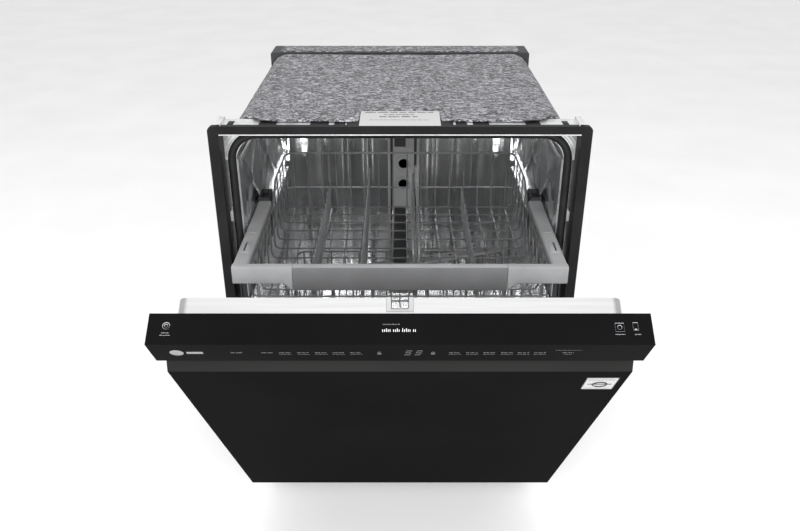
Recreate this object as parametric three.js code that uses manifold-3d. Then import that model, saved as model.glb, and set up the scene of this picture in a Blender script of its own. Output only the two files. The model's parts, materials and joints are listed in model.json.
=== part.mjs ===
// Built-in dishwasher, 24 inch class, front control, shown with the door part open and the upper rack drawn out.
// Millimetres, +Z up, +X to the machine's right as seen from the front, +Y to its back.
// While the parts are made, y = 0 is the front face of the trim round the tub opening and z = 0 is the floor.
// Everything on the door is made in the closed position and turned by the door's group, and each rack is made
// pushed in and drawn out by its own group.
import * as THREE from 'three';
import { mergeVertices } from 'three/addons/utils/BufferGeometryUtils.js';
import Module from 'manifold-3d';

const wasm = await Module();
wasm.setup();

// ---------------------------------------------------------------- driving dimensions
const WIDTH = 603;              // control panel and trim, side to side
const HEIGHT = 854;             // floor to the top of the trim
const DEPTH = 614;              // trim face to the back of the rear frame
const DOOR_OPEN_DEG = 35.4;     // how far the door stands open
const UPPER_RACK_OUT = 141;     // how far the upper rack is drawn out
const LOWER_RACK_OUT = 37;      // how far the lower rack is drawn out

const GAP = 0.3;                // between pieces that are fixed face to face
const PLAY = 0.5;               // round a pin, in a socket or beside a sliding face

const SHEET = 1.2;              // tub steel
const FRAME_SHEET = 1.5;        // galvanised frame steel
const PLATE = 3;                // hinge steel
const PLASTIC = 2.5;            // moulded walls

const trim = { corner: 8, innerCorner: 1.5, face: 16.5, top: 13, plate: 2.5, wall: 2, bottom: 242 };
const liner = { depth: 24, side: 12, top: 2, bottom: 244, corner: 12, sheet: 1, plateOver: 2, plateUnder: 6,
  plateSide: 3 };
const seal = { depth: 8, width: 13, air: 5, down: 3, corner: 50 };
const door = { thick: 40.5, overlap: 5, panelInset: 3, controlHeight: 53, pocketGap: 40, bottom: 94 };
const skin = { sheet: 1, lowerDepth: 16, stepUp: 18, chamfer: 11 };
const pocket = { depth: 21, lip: 4, bulge: 9, shoulder: 7 };
const hinge = { y: -16, z: 212, pin: 5, ear: 11, armWidth: 20, armTop: 330, rise: 6, barTop: 16 };
const bracket = { nose: 30, heel: 24, up: 86, step: 30, down: 40, clear: 6 };
const tub = { corner: 52, floor: 222, ledge: 252, ledgeWidth: 41, slope: 10, fromBack: 69, lipBottom: 214 };
const PAST = 5;                 // how far a cutting tool passes through the face it opens

// ---------------------------------------------------------------- what follows from them
const halfWidth = WIDTH / 2;
const openingHalf = halfWidth - trim.face;                 // inside faces of the trim
const openingTop = HEIGHT - trim.top;
const flangeY = liner.depth + seal.depth;                  // tub flange, behind the seal
const tubHalf = openingHalf - seal.air - seal.width;       // inside of the tub
const tubTop = openingTop - seal.air;
const tubBack = DEPTH - tub.fromBack;
const doorBack = -trim.plate;                              // back of the door's outer body
const doorFront = doorBack - door.thick;
const doorTop = HEIGHT - door.overlap;
const doorHalf = halfWidth - door.panelInset;
const linerHalf = openingHalf - liner.side;
const linerTop = openingTop - liner.top;
const linerFace = liner.depth - liner.sheet;               // inner face of the door when it is shut

// ---------------------------------------------------------------- clearances from the tub and the trim
const baseInset = 0.1;          // base pan, inside the trim's opening
const rearOver = 14;            // rear frame, outside the tub's wall
const rearDown = 4;             // rear frame, under the top of the trim
const guideDown = 36;           // top of the upright duct, under the tub's roof
const rackAir = { upperSide: 27, lowerSide: 25, handleSide: 5, adjuster: 3, box: 1.6, upperBack: 25,
  lowerBack: 33 };

// ---------------------------------------------------------------- dimensions of what is fitted in and round it
const flange = { over: 3.5, above: 1, corner: 2, innerCorner: 44 };
const frame = { back: 46, proud: 1.5, over: 6, corner: 2, legBottom: 242 };
const tab = { height: 5, width: 9, inset: 6, clear: 2 };
const felt = { thick: 9, air: 0.5, bottom: 300, short: 9, notchHalf: 92, notchBack: 90 };
const rear = { halfWidth: tubHalf + rearOver, top: HEIGHT - rearDown, wall: 3.2, edge: 4, corner: 61, foot: 8,
  plate: 60, plateOver: 1.2 };
const inlet = { height: 120, long: 9, cableX: 190, cable: 9, waterX: -190, water: 11.5, rim: 5 };
const base = { front: 140, bottom: 28, top: 212, wall: 3, halfWidth: openingHalf - baseInset };
const leg = { foot: 19, footHeight: 6, cone: 4, collar: 2, stem: 8, top: 66, boss: 15, bossOver: 6, inX: 44,
  front: 164.75, back: 28 };
const sump = { centreY: 300, bowl: 84, rim: 104, flange: 120, wall: 3, depth: 78, holeInset: 4 };
const pump = { radius: 58, height: 76, foot: 10, shoulder: 14, neck: 8, outlet: 16, outletUp: 30,
  outletOut: 62 };
const guide = { x: 8, halfWidth: 36, depth: 18, bottom: 262, top: tubTop - guideDown, duct: 16, ductHeight: 13 };
const nozzle = { radius: 34, y: 290, drop: 34, brim: 26, rise: 2 };
const dock = { radius: 13, depth: 9, below: 8 };
const filter = { plate: 2.4, radius: 118, hub: 16, hubTop: 252 };
const cup = { radius: 30, x: 38, y: 262, deep: 62, brim: 4, brimThick: 3, grip: 8, gripHalf: 3, gripInset: 6 };
const arm = { width: 34, thick: 11, tip: 12, hub: 24, hubOver: 4, lowerReach: 205, upperReach: 212,
  lowerAngle: 0.35, upperAngle: 0.3, upperHub: 19.2, upperHubUnder: 3, upperDown: 2 };
const feed = { halfWidth: 12, height: 12, boss: 4, front: 20, short: 2, behind: 12 };
const rail = { wall: 1.5, height: 28, width: 11.5, off: 1, bottom: 596, front: 38,
  back: tubBack - rackAir.upperBack, innerLength: 430, groove: 6 };
const wire = 4;
const upper = { lift: 50, front: 48, back: tubBack - rackAir.upperBack, half: tubHalf - rackAir.upperSide,
  floor: 560, frontRim: 646, backRim: 680, cells: 6 };
const grip = { half: tubHalf - rackAir.handleSide, depth: 12, top: 662, height: 29, armWidth: 24, armThick: 12,
  armBack: 303, armSet: 2 };
const handle = { half: 170, drop: 10, proud: 4, down: 8, toe: 2, back: 5 };
const adjuster = { thick: 9.5, inner: upper.half + rackAir.adjuster, bottom: 590, front: 60, back: 340, drop: 2,
  neckUp: 20 };
const lever = { long: 45, top: 668, inner: upper.half + rackAir.box, wall: 4, floor: 7 };
const tines = { height: 90, step: 29.5, count: 14, upperX: -62, lowerX: -62, clear: 8, fromFront: 40,
  axleOver: 12 };
const rest = { x: 26, height: 100, length: 400, posts: 9 };
const lower = { front: 38, back: tubBack - rackAir.lowerBack, half: tubHalf - rackAir.lowerSide, floor: 275,
  frontRim: 372, sideRim: 392, backRim: 404, cells: 6 };
const wheel = { radius: 14, width: 11, axle: 4, air: 3.5, front: 52, back: 62 };
const hanger = { half: 9, below: 7, up: 30, skin: 0.8, axleOver: 1 };
const cutlery = { width: 122, long: 232, height: 118, wall: 2.5, cells: 3, fromFront: 26, fromSide: 6 };
const hoop = { rise: 20, width: 14, thick: 4, down: 20 };
const dispenser = { x: 8, z: 592, width: 176, height: 124, deep: 22, proud: 1.6 };
const dose = { size: 62, deep: 16, fromLeft: 44, lid: 2.2, over: 4, lipThick: 4, lipIn: 4, lipProud: 1.6 };
const cap = { radius: 19, fromRight: 26, up: 30, barHalf: 3, barShare: 0.8 };
const latch = { proud: 0.6, over: 0.4, half: 16.5, pocketHalf: 11, deep: 19, height: 40, pocketFloor: 33,
  wall: 3 };
const hook = { reach: 4.4, thick: 2.2 };
const striker = { half: 82, back: 88, front: 8.5, thick: 10, loopHalf: 9, loopFront: 10, loopThick: 3,
  loopBottom: 23, slot: 2, slotBack: 4 };

// ---------------------------------------------------------------- small tools
const finish = (colour, roughness, metalness = 0) =>
  new THREE.MeshStandardMaterial({ color: colour, roughness, metalness });

const materials = {
  stainless: finish('#c9cbcc', 0.22, 1),
  galvanised: finish('#d7d8d8', 0.45, 0.9),
  blackSteel: finish('#17171a', 0.28, 0.6),
  blackGloss: finish('#0e0e10', 0.18, 0.1),
  blackPlastic: finish('#1b1c1e', 0.55),
  rubber: finish('#232427', 0.8),
  felt: finish('#77777c', 0.95),
  greyPlastic: finish('#8d8f91', 0.5),
  darkPlastic: finish('#3c3e41', 0.55),
  wireCoat: finish('#9fa1a3', 0.45),
  steel: finish('#a9abad', 0.4, 0.9),
  whitePlastic: finish('#e6e7e7', 0.5),
};

// A three.js geometry as a manifold-3d solid, and back.
function solid(geometry) {
  const g = geometry.clone();
  for (const name of Object.keys(g.attributes)) {
    if (name !== 'position') g.deleteAttribute(name);
  }
  const merged = mergeVertices(g, 1e-4);
  return new wasm.Manifold(new wasm.Mesh({
    numProp: 3,
    vertProperties: new Float32Array(merged.attributes.position.array),
    triVerts: new Uint32Array(merged.index.array),
  }));
}

function geometryOf(made) {
  const mesh = made.getMesh();
  const g = new THREE.BufferGeometry();
  g.setAttribute('position', new THREE.BufferAttribute(new Float32Array(mesh.vertProperties), 3));
  g.setIndex(new THREE.BufferAttribute(new Uint32Array(mesh.triVerts), 1));
  g.computeVertexNormals();
  return g;
}

const join = (...parts) => geometryOf(parts.map(solid).reduce((a, b) => a.add(b)));
const cut = (body, ...tools) => geometryOf(tools.map(solid).reduce((a, b) => a.subtract(b), solid(body)));

// A box between two corners.
function block(low, high) {
  const size = high.map((v, i) => v - low[i]);
  return new THREE.BoxGeometry(...size).translate(...low.map((v, i) => v + size[i] / 2));
}

const outline = (points) => new THREE.Shape(points.map(([u, v]) => new THREE.Vector2(u, v)));
const axes = (a, b, c) => new THREE.Matrix4().makeBasis(...[a, b, c].map((v) => new THREE.Vector3(...v)));

// Extrusions of a flat outline: one drawn in (y, z) and swept along x, one drawn in (x, z) and swept along y,
// and one drawn in (x, y) and swept along z.
function alongX(shape, x0, x1, curveSegments = 6) {
  return new THREE.ExtrudeGeometry(shape, { depth: x1 - x0, bevelEnabled: false, curveSegments })
    .applyMatrix4(axes([0, 1, 0], [0, 0, 1], [1, 0, 0])).translate(x0, 0, 0);
}
function alongY(shape, y0, y1, curveSegments = 6) {
  return new THREE.ExtrudeGeometry(shape, { depth: y1 - y0, bevelEnabled: false, curveSegments })
    .applyMatrix4(axes([1, 0, 0], [0, 0, 1], [0, -1, 0])).translate(0, y1, 0);
}
function alongZ(shape, z0, z1, curveSegments = 6) {
  return new THREE.ExtrudeGeometry(shape, { depth: z1 - z0, bevelEnabled: false, curveSegments })
    .translate(0, 0, z0);
}

// A round bar or a turned piece.
function rod(radius, from, to, sides = 16) {
  const a = new THREE.Vector3(...from);
  const b = new THREE.Vector3(...to);
  const turn = new THREE.Quaternion().setFromUnitVectors(new THREE.Vector3(0, 1, 0), b.clone().sub(a).normalize());
  return new THREE.CylinderGeometry(radius, radius, a.distanceTo(b), sides)
    .applyQuaternion(turn).translate(...a.add(b).multiplyScalar(0.5).toArray());
}
function turned(profile, x, y, sides = 24) {
  return new THREE.LatheGeometry(profile.map(([r, z]) => new THREE.Vector2(r, z)), sides)
    .rotateX(Math.PI / 2).translate(x, y, 0);
}

// An arch in (x, z): straight legs down to z = foot, rounded shoulders of the given radius.
function archPath(half, top, radius, foot) {
  const path = new THREE.Path();
  path.moveTo(half, foot);
  path.lineTo(half, top - radius);
  path.absarc(half - radius, top - radius, radius, 0, Math.PI / 2, false);
  path.absarc(-half + radius, top - radius, radius, Math.PI / 2, Math.PI, false);
  path.lineTo(-half, foot);
  return path.getPoints(6);
}
// The band between an outer and an inner arch.
function arch(outer, inner, foot) {
  const out = archPath(outer.half, outer.top, outer.radius, foot);
  const back = archPath(inner.half, inner.top, inner.radius, foot).reverse();
  return new THREE.Shape([...out, ...back]);
}

function roundedRect(x0, z0, x1, z1, radius) {
  const shape = new THREE.Shape();
  shape.absarc(x1 - radius, z0 + radius, radius, -Math.PI / 2, 0, false);
  shape.absarc(x1 - radius, z1 - radius, radius, 0, Math.PI / 2, false);
  shape.absarc(x0 + radius, z1 - radius, radius, Math.PI / 2, Math.PI, false);
  shape.absarc(x0 + radius, z0 + radius, radius, Math.PI, 1.5 * Math.PI, false);
  return shape;
}

const machine = new THREE.Group();
const doorGroup = new THREE.Group();
const upperGroup = new THREE.Group();
const lowerGroup = new THREE.Group();
machine.add(doorGroup, upperGroup, lowerGroup);

function add(group, name, material, geometry) {
  const mesh = new THREE.Mesh(geometry, materials[material]);
  mesh.name = name;
  group.add(mesh);
  return mesh;
}
const sides = { left: -1, right: 1 };
// A piece drawn on the machine's right side, or its mirror image on the left.
function onSide(side, geometry) {
  if (side > 0) return geometry;
  const mirrored = geometry.clone().applyMatrix4(new THREE.Matrix4().makeScale(-1, 1, 1));
  const flat = mirrored.index ? mirrored.toNonIndexed() : mirrored;
  const p = flat.attributes.position;
  for (let i = 0; i < p.count; i += 3) {
    for (let k = 0; k < 3; k++) {
      const keep = p.array[3 * i + 3 + k];
      p.array[3 * i + 3 + k] = p.array[3 * i + 6 + k];
      p.array[3 * i + 6 + k] = keep;
    }
  }
  return flat;
}

// ---------------------------------------------------------------- tub
const wrapOut = { half: tubHalf + SHEET, top: tubTop + SHEET, radius: tub.corner + SHEET };
const wrapIn = { half: tubHalf, top: tubTop, radius: tub.corner };

function tubShell() {
  const wrapper = alongY(arch(wrapOut, wrapIn, tub.ledge + GAP), flangeY, tubBack);
  const lipOut = { half: openingHalf + flange.over, top: openingTop + flange.above, radius: flange.corner };
  const lipIn = { half: tubHalf, top: tubTop - seal.width + seal.air, radius: flange.innerCorner };
  const lip = alongY(arch(lipOut, lipIn, tub.ledge + GAP), flangeY, flangeY + SHEET);
  return join(wrapper, lip);
}

function tubRearWall() {
  const shape = new THREE.Shape(archPath(wrapOut.half, wrapOut.top, wrapOut.radius, tub.lipBottom));
  return alongY(shape, tubBack + GAP, tubBack + GAP + SHEET);
}

// Side ledges that carry the lower rack's wheels, a sunk basin between them and a hole over the sump.
function tubFloor() {
  const edge = tubHalf - GAP;
  const step = tubHalf - tub.ledgeWidth;
  const top = [[-edge, tub.ledge], [-step, tub.ledge], [-step + tub.slope, tub.floor],
    [step - tub.slope, tub.floor], [step, tub.ledge], [edge, tub.ledge]];
  const under = top.map(([x, z]) => [x, z - SHEET]).reverse();
  const sheet = alongY(outline([...top, ...under]), flangeY, tubBack);
  const wide = base.halfWidth - GAP;
  const lip = alongY(outline([[-wide, tub.lipBottom], [wide, tub.lipBottom], [wide, tub.ledge],
    ...top.slice().reverse(), [-wide, tub.ledge]]), flangeY, flangeY + SHEET);
  const hole = rod(sump.rim - sump.holeInset, [0, sump.centreY, tub.floor - SHEET - PAST],
    [0, sump.centreY, tub.floor + PAST], 28);
  return cut(join(sheet, lip), hole);
}

function tubSeal() {
  const outer = { half: openingHalf - seal.air, top: openingTop - seal.down, radius: seal.corner };
  const inner = { half: outer.half - seal.width, top: outer.top - seal.width, radius: seal.corner - seal.width };
  return alongY(arch(outer, inner, tub.ledge + GAP), linerFace + latch.proud + PLAY, flangeY - GAP);
}

function insulationBlanket() {
  const inner = { half: wrapOut.half + felt.air, top: wrapOut.top + felt.air, radius: wrapOut.radius };
  const outer = { half: inner.half + felt.thick, top: inner.top + felt.thick, radius: inner.radius + felt.thick };
  const blanket = alongY(arch(outer, inner, felt.bottom), frame.back + PLAY, tubBack - felt.short);
  const notch = block([-felt.notchHalf, 0, inner.top - felt.air],
    [felt.notchHalf, felt.notchBack, outer.top + PAST]);
  return cut(blanket, notch);
}

// ---------------------------------------------------------------- frames and base
function frontFrame() {
  const front = trim.plate + PLAY;
  const outer = { half: openingHalf + frame.over, top: HEIGHT - frame.proud, radius: frame.corner };
  const inner = { half: outer.half - FRAME_SHEET, top: outer.top - FRAME_SHEET, radius: frame.corner / 2 };
  const strip = alongY(arch(outer, inner, frame.legBottom), front, frame.back, 1);
  const tubSide = { half: wrapOut.half + GAP, top: wrapOut.top + GAP, radius: wrapOut.radius };
  const half = inner.half + FRAME_SHEET / 2;
  const middle = { half, top: inner.top + FRAME_SHEET / 2, radius: (inner.radius + outer.radius) / 2 };
  const web = alongY(arch(middle, tubSide, frame.legBottom + 1), frame.back - FRAME_SHEET, frame.back);
  const socket = block([-striker.half - trim.wall, striker.front - PLAY, openingTop + trim.wall - PLAY],
    [striker.half + trim.wall, frame.back + PAST, outer.top + PAST]);
  const tabs = [-1, 1].map((side) => {
    const x = outer.half - tab.width / 2 - tab.inset;
    const y0 = front + tab.clear;
    const y1 = frame.back - FRAME_SHEET - tab.clear;
    const high = outer.top + tab.height;
    const upright = block([x, y0, outer.top - FRAME_SHEET / 2], [x + FRAME_SHEET, y1, high]);
    const top = block([x, y0, high - FRAME_SHEET], [x + tab.width, y1, high]);
    return onSide(side, join(upright, top));
  });
  return cut(join(strip, web, ...tabs), socket);
}

function frontTrim() {
  const outer = { half: halfWidth, top: HEIGHT, radius: trim.corner };
  const inner = { half: openingHalf, top: openingTop, radius: trim.innerCorner };
  const face = alongY(arch(outer, inner, trim.bottom), 0, trim.plate, 2);
  const wallOut = { half: openingHalf + trim.wall, top: openingTop + trim.wall, radius: trim.innerCorner + 1 };
  const wall = alongY(arch(wallOut, inner, trim.bottom), 0, flangeY - GAP, 2);
  const strikerSlot = block([-striker.loopHalf - striker.slot, striker.loopFront - striker.slot, openingTop - PAST],
    [striker.loopHalf + striker.slot, striker.loopFront + striker.loopThick + striker.slotBack,
      openingTop + trim.wall + PLAY]);
  return cut(join(face, wall), strikerSlot);
}

function rearFrame() {
  const low = base.top + rear.foot;
  const outer = { half: rear.halfWidth, top: rear.top, radius: rear.edge };
  const inner = { half: rear.halfWidth - rear.wall, top: rear.top - rear.wall, radius: rear.corner };
  const band = alongY(arch(outer, inner, low), tubBack, DEPTH);
  const half = rear.halfWidth - rear.plateOver;
  const plate = (bottom, top) => block([-half, DEPTH - rear.wall, bottom], [half, DEPTH, top]);
  return join(band, plate(low, low + rear.plate), plate(rear.top - rear.plate, rear.top - rear.edge));
}

const legPlaces = {
  front_left: [-1, 'front'], front_right: [1, 'front'], back_left: [-1, 'back'], back_right: [1, 'back'],
};
function legAt([side, end]) {
  return [side * (base.halfWidth - leg.inX), end === 'front' ? leg.front : DEPTH - leg.back];
}

function basePan() {
  const outer = block([-base.halfWidth, base.front, base.bottom], [base.halfWidth, DEPTH, base.top]);
  const inner = block([-base.halfWidth + base.wall, base.front + base.wall, base.bottom + base.wall],
    [base.halfWidth - base.wall, DEPTH - base.wall, base.top + PAST]);
  const places = Object.values(legPlaces).map(legAt);
  const bossTop = leg.top + leg.bossOver;
  const bosses = places.map(([x, y]) => rod(leg.boss, [x, y, base.bottom], [x, y, bossTop], 16));
  const bores = places.map(([x, y]) => rod(leg.stem + PLAY, [x, y, base.bottom - PAST], [x, y, bossTop + PAST], 16));
  const inside = DEPTH - base.wall - inlet.long;
  const collar = (x, radius) =>
    rod(radius + inlet.rim, [x, inside, inlet.height], [x, DEPTH - base.wall / 2, inlet.height], 20);
  const mouth = (x, radius) =>
    rod(radius, [x, inside - PLAY, inlet.height], [x, DEPTH + PLAY, inlet.height], 20);
  const collars = [collar(inlet.cableX, inlet.cable), collar(inlet.waterX, inlet.water)];
  const mouths = [mouth(inlet.cableX, inlet.cable), mouth(inlet.waterX, inlet.water)];
  return cut(join(cut(outer, inner), ...bosses, ...collars), ...bores, ...mouths);
}

function levellingLeg(place) {
  const [x, y] = legAt(place);
  const neck = leg.footHeight + leg.cone;
  return turned([[0, 0], [leg.foot, 0], [leg.foot, leg.footHeight], [leg.stem + leg.collar, neck],
    [leg.stem, neck + leg.collar], [leg.stem, leg.top], [0, leg.top]], x, y, 16);
}

// Plate beside the base that carries the door's pin in front of the tub.
function hingeBracket() {
  const inner = base.halfWidth + GAP;
  const { y, z, ear } = hinge;
  const low = z - hinge.rise;
  const nose = base.front - bracket.nose;
  const heel = base.front + bracket.heel;
  const root = frame.back + bracket.clear;
  const plate = alongX(outline([[y, low], [nose, low], [nose, base.bottom + bracket.down],
    [heel, base.bottom + bracket.down], [heel, z + bracket.step], [nose, z + bracket.up],
    [root, z + bracket.up], [root, z + hinge.barTop], [y, z + hinge.ear]]), inner, inner + PLATE);
  const eye = rod(ear, [inner, y, z], [inner + PLATE, y, z], 20);
  const pin = rod(hinge.pin, [inner - 2 * PLATE, y, z], [inner + PLATE / 2, y, z], 16);
  return join(plate, eye, pin);
}

// ---------------------------------------------------------------- water system
function sumpBowl() {
  const top = tub.floor - SHEET - GAP;
  const low = top - sump.depth;
  const slope = sump.rim - sump.bowl;
  return turned([[0, low], [sump.bowl, low], [sump.bowl + slope, top - sump.wall], [sump.flange, top - sump.wall],
    [sump.flange, top], [sump.rim, top], [sump.bowl - sump.wall, low + sump.wall], [0, low + sump.wall]],
  0, sump.centreY);
}

function washPump() {
  const top = tub.floor - SHEET - GAP - sump.depth - GAP;
  const low = top - pump.height;
  const { radius: r, foot, shoulder, neck, outlet: pipe } = pump;
  const motor = turned([[0, low], [r - foot, low], [r, low + foot], [r, top - shoulder], [r - neck, top - neck],
    [r - neck, top], [0, top]], 0, sump.centreY, 20);
  const z = low + pump.outletUp;
  const outlet = rod(pipe, [0, sump.centreY, z], [r + pump.outletOut, sump.centreY, z], 12);
  return join(motor, outlet);
}

// Upright duct on the back wall with its two docking ports, and the roof duct that ends in the top nozzle.
const dockHeights = [upper.floor - dock.below, upper.floor - dock.below + upper.lift];
function waterGuide() {
  const back = tubBack - GAP;
  const upright = block([guide.x - guide.halfWidth, back - guide.depth, guide.bottom],
    [guide.x + guide.halfWidth, back, guide.top]);
  const roof = tubTop - GAP;
  const under = roof - guide.ductHeight;
  const face = back - guide.depth;
  const riser = block([-guide.duct, face, guide.top - PAST], [guide.duct, back, roof]);
  const duct = block([-guide.duct, nozzle.y, under], [guide.duct, back, roof]);
  const spray = turned([[0, roof - nozzle.drop], [nozzle.radius * 0.7, roof - nozzle.drop],
    [nozzle.radius, roof - nozzle.brim], [nozzle.radius * 0.8, under], [0, under + nozzle.rise]], 0, nozzle.y, 16);
  const ports = dockHeights.map((z) =>
    rod(dock.radius, [guide.x, face - PAST, z], [guide.x, face + dock.depth, z], 14));
  return cut(join(upright, riser, duct, spray), ...ports);
}

function filterScreen() {
  const low = tub.floor + GAP;
  const plate = rod(filter.radius, [0, sump.centreY, low], [0, sump.centreY, low + filter.plate], 28);
  const hub = rod(filter.hub, [0, sump.centreY, low], [0, sump.centreY, filter.hubTop - PLAY], 16);
  const seat = rod(cup.radius + PLAY, [cup.x, cup.y, low - PAST], [cup.x, cup.y, low + filter.plate + PAST], 20);
  return cut(join(plate, hub), seat);
}

function fineFilter() {
  const rim = tub.floor + GAP + filter.plate + GAP;
  const low = rim - cup.deep;
  const { radius: r, brim, brimThick } = cup;
  const body = turned([[0, low], [r - brim, low], [r, rim - cup.gripInset], [r, rim], [r + brim, rim],
    [r + brim, rim + brimThick], [0, rim + brimThick]], cup.x, cup.y, 20);
  const reach = r - cup.gripInset;
  const bar = block([cup.x - cup.gripHalf, cup.y - reach, rim],
    [cup.x + cup.gripHalf, cup.y + reach, rim + cup.grip]);
  return join(body, bar);
}

// One blade of a spray arm, from the hub out along +x, before it is turned into place.
function blade(reach, z) {
  const { width, tip, thick } = arm;
  const shape = outline([[0, -width / 2], [reach * 0.5, -width / 2], [reach, -tip / 2], [reach, tip / 2],
    [reach * 0.5, width / 2], [0, width / 2]]);
  return alongZ(shape, z, z + thick);
}

function lowerSprayArm() {
  const z = filter.hubTop;
  const blades = [0, 1, 2, 3].map((quarter) =>
    blade(arm.lowerReach, z).rotateZ(arm.lowerAngle + quarter * Math.PI / 2).translate(0, sump.centreY, 0));
  const hub = rod(arm.hub, [0, sump.centreY, z], [0, sump.centreY, z + arm.thick + arm.hubOver], 20);
  return join(...blades, hub);
}

// ---------------------------------------------------------------- door
function doorPanel() {
  const lowerBack = doorFront + skin.lowerDepth;
  const step = hinge.z + skin.stepUp;
  const top = doorTop - door.controlHeight - door.pocketGap;
  const c = skin.chamfer;
  const t = skin.sheet;
  const back = doorBack - skin.sheet;
  const open = doorBack + PAST;
  const body = alongX(outline([[doorFront, door.bottom], [lowerBack, door.bottom], [lowerBack, step],
    [back, step], [back, top + c], [doorFront + c, top + c], [doorFront, top]]), -doorHalf, doorHalf);
  const hollow = alongX(outline([[doorFront + t, door.bottom + t], [open, door.bottom + t],
    [open, top + c + PAST], [doorFront + c + t / 2, top + c + PAST], [doorFront + c + t / 2, top + c - t / 2],
    [doorFront + t, top - t / 2]]), -doorHalf + t, doorHalf - t);
  return cut(body, hollow);
}

// Box of black plastic across the top of the door, open at the back.
function controlPanel() {
  const low = doorTop - door.controlHeight;
  const t = PLASTIC;
  const over = low + pocket.lip;
  const pocketBack = doorFront + pocket.depth;
  const open = doorBack + PAST;
  const body = alongX(outline([[doorFront, low], [pocketBack, over], [doorBack, over], [doorBack, doorTop],
    [doorFront, doorTop]]), -halfWidth, halfWidth);
  const hollow = alongX(outline([[doorFront + t, low + t], [pocketBack, over + t], [open, over + t],
    [open, doorTop - t], [doorFront + t, doorTop - t]]), -halfWidth + t, halfWidth - t);
  return cut(body, hollow);
}

// Curved wall behind the finger space under the control panel.
function pocketHandle() {
  const ceiling = doorTop - door.controlHeight;
  const high = ceiling + pocket.lip - GAP;
  const low = ceiling - door.pocketGap + skin.chamfer + GAP;
  const middle = (low + high) / 2;
  const y = doorFront + pocket.depth;
  const t = PLASTIC;
  const { bulge, shoulder: s } = pocket;
  const front = [[doorFront + skin.chamfer, low + t], [y - t, low + t], [y + s, low + t + s],
    [y + bulge, middle], [y + s, high - s], [y, high]];
  const back = [[y + t, high], [y + s + t, high - s + 1], [y + bulge + t, middle], [y + s + t, low + s],
    [y, low], [doorFront + skin.chamfer, low]];
  return alongX(outline([...front, ...back]), -doorHalf + 2 * skin.sheet, doorHalf - 2 * skin.sheet);
}

const latchLow = linerTop - latch.height;
const latchTop = linerTop + latch.over;
function doorLiner() {
  const t = liner.sheet;
  const y0 = doorBack + GAP;
  const plateHalf = doorHalf - liner.plateSide;
  const plate = block([-plateHalf, y0, liner.bottom - liner.plateUnder],
    [plateHalf, y0 + t, linerTop + liner.plateOver]);
  const bulge = alongY(roundedRect(-linerHalf, liner.bottom, linerHalf, linerTop, liner.corner), y0, linerFace, 4);
  const inside = roundedRect(-linerHalf + t, liner.bottom + t, linerHalf - t, linerTop - t, liner.corner - t);
  const hollow = alongY(inside, y0 - PAST, linerFace - t, 4);
  const latchHole = block([-latch.half - GAP, linerFace - latch.deep - GAP, latchLow - GAP],
    [latch.half + GAP, linerFace + PAST, linerTop + liner.plateOver + PAST]);
  const d = dispenser;
  const dispenserHole = block([d.x - d.width / 2 - GAP, linerFace - PAST, d.z - d.height / 2 - GAP],
    [d.x + d.width / 2 + GAP, linerFace + PAST, d.z + d.height / 2 + GAP]);
  return cut(join(plate, bulge), hollow, latchHole, dispenserHole);
}

function latchHousing() {
  const front = linerFace - latch.deep;
  const body = block([-latch.half, front, latchLow], [latch.half, linerFace + latch.proud, latchTop]);
  const slot = block([-latch.pocketHalf, front + latch.wall, latchTop - latch.pocketFloor],
    [latch.pocketHalf, linerFace + PAST, latchTop + PAST]);
  return cut(body, slot);
}

function latchHook() {
  const { reach, thick } = hook;
  const y = linerFace - latch.deep + latch.wall + reach + 2 * PLAY;
  const z = latchTop - latch.pocketFloor + reach + 2 * PLAY;
  return block([-latch.pocketHalf + PLAY, y - reach, z - thick], [latch.pocketHalf - PLAY, y + reach, z + thick]);
}

const dosePlace = { x: dispenser.x - dispenser.width / 2 + dose.fromLeft, z: dispenser.z };
const capPlace = {
  x: dispenser.x + dispenser.width / 2 - cap.fromRight, z: dispenser.z - dispenser.height / 2 + cap.up,
};
function dispenserBody() {
  const d = dispenser;
  const face = linerFace + d.proud;
  const body = block([d.x - d.width / 2, face - d.deep, d.z - d.height / 2],
    [d.x + d.width / 2, face, d.z + d.height / 2]);
  const { x, z } = dosePlace;
  const well = block([x - dose.size / 2, face - dose.deep, z - dose.size / 2],
    [x + dose.size / 2, face + PAST, z + dose.size / 2]);
  return cut(body, well);
}

function dispenserLid() {
  const face = linerFace + dispenser.proud + PLAY;
  const half = dose.size / 2 + dose.over;
  const { x, z } = dosePlace;
  const plate = block([x - half, face, z - half], [x + half, face + dose.lid, z + half]);
  const edge = x + half - dose.lipIn;
  const lip = block([edge - dose.lipThick, face, z - half / 2],
    [edge, face + dose.lid + dose.lipProud, z + half / 2]);
  return join(plate, lip);
}

function rinseAidCap() {
  const face = linerFace + dispenser.proud + PLAY;
  const { x, z } = capPlace;
  const disc = rod(cap.radius, [x, face, z], [x, face + dose.lid, z], 20);
  const reach = cap.radius * cap.barShare;
  const bar = block([x - reach, face, z - cap.barHalf],
    [x + reach, face + dose.lid + dose.lipProud, z + cap.barHalf]);
  return join(disc, bar);
}

function hingeArm() {
  const x1 = base.halfWidth + GAP - PLAY;
  const { y, z, ear } = hinge;
  const half = hinge.armWidth / 2;
  const bar = block([x1 - PLATE, y - half, z], [x1, y + half, hinge.armTop]);
  const eye = rod(ear, [x1 - PLATE, y, z], [x1, y, z], 20);
  const bore = rod(hinge.pin + PLAY, [x1 - PLATE - PAST, y, z], [x1 + PAST, y, z], 16);
  return cut(join(bar, eye), bore);
}

// Housing on top of the frame and, under it, the plate that the latch closes on.
function doorStriker() {
  const low = openingTop + trim.wall + PLAY;
  const housing = block([-striker.half, striker.front, low], [striker.half, striker.back, low + striker.thick]);
  const loop = block([-striker.loopHalf, striker.loopFront, openingTop - striker.loopBottom],
    [striker.loopHalf, striker.loopFront + striker.loopThick, low + striker.thick / 5]);
  return join(housing, loop);
}

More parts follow.
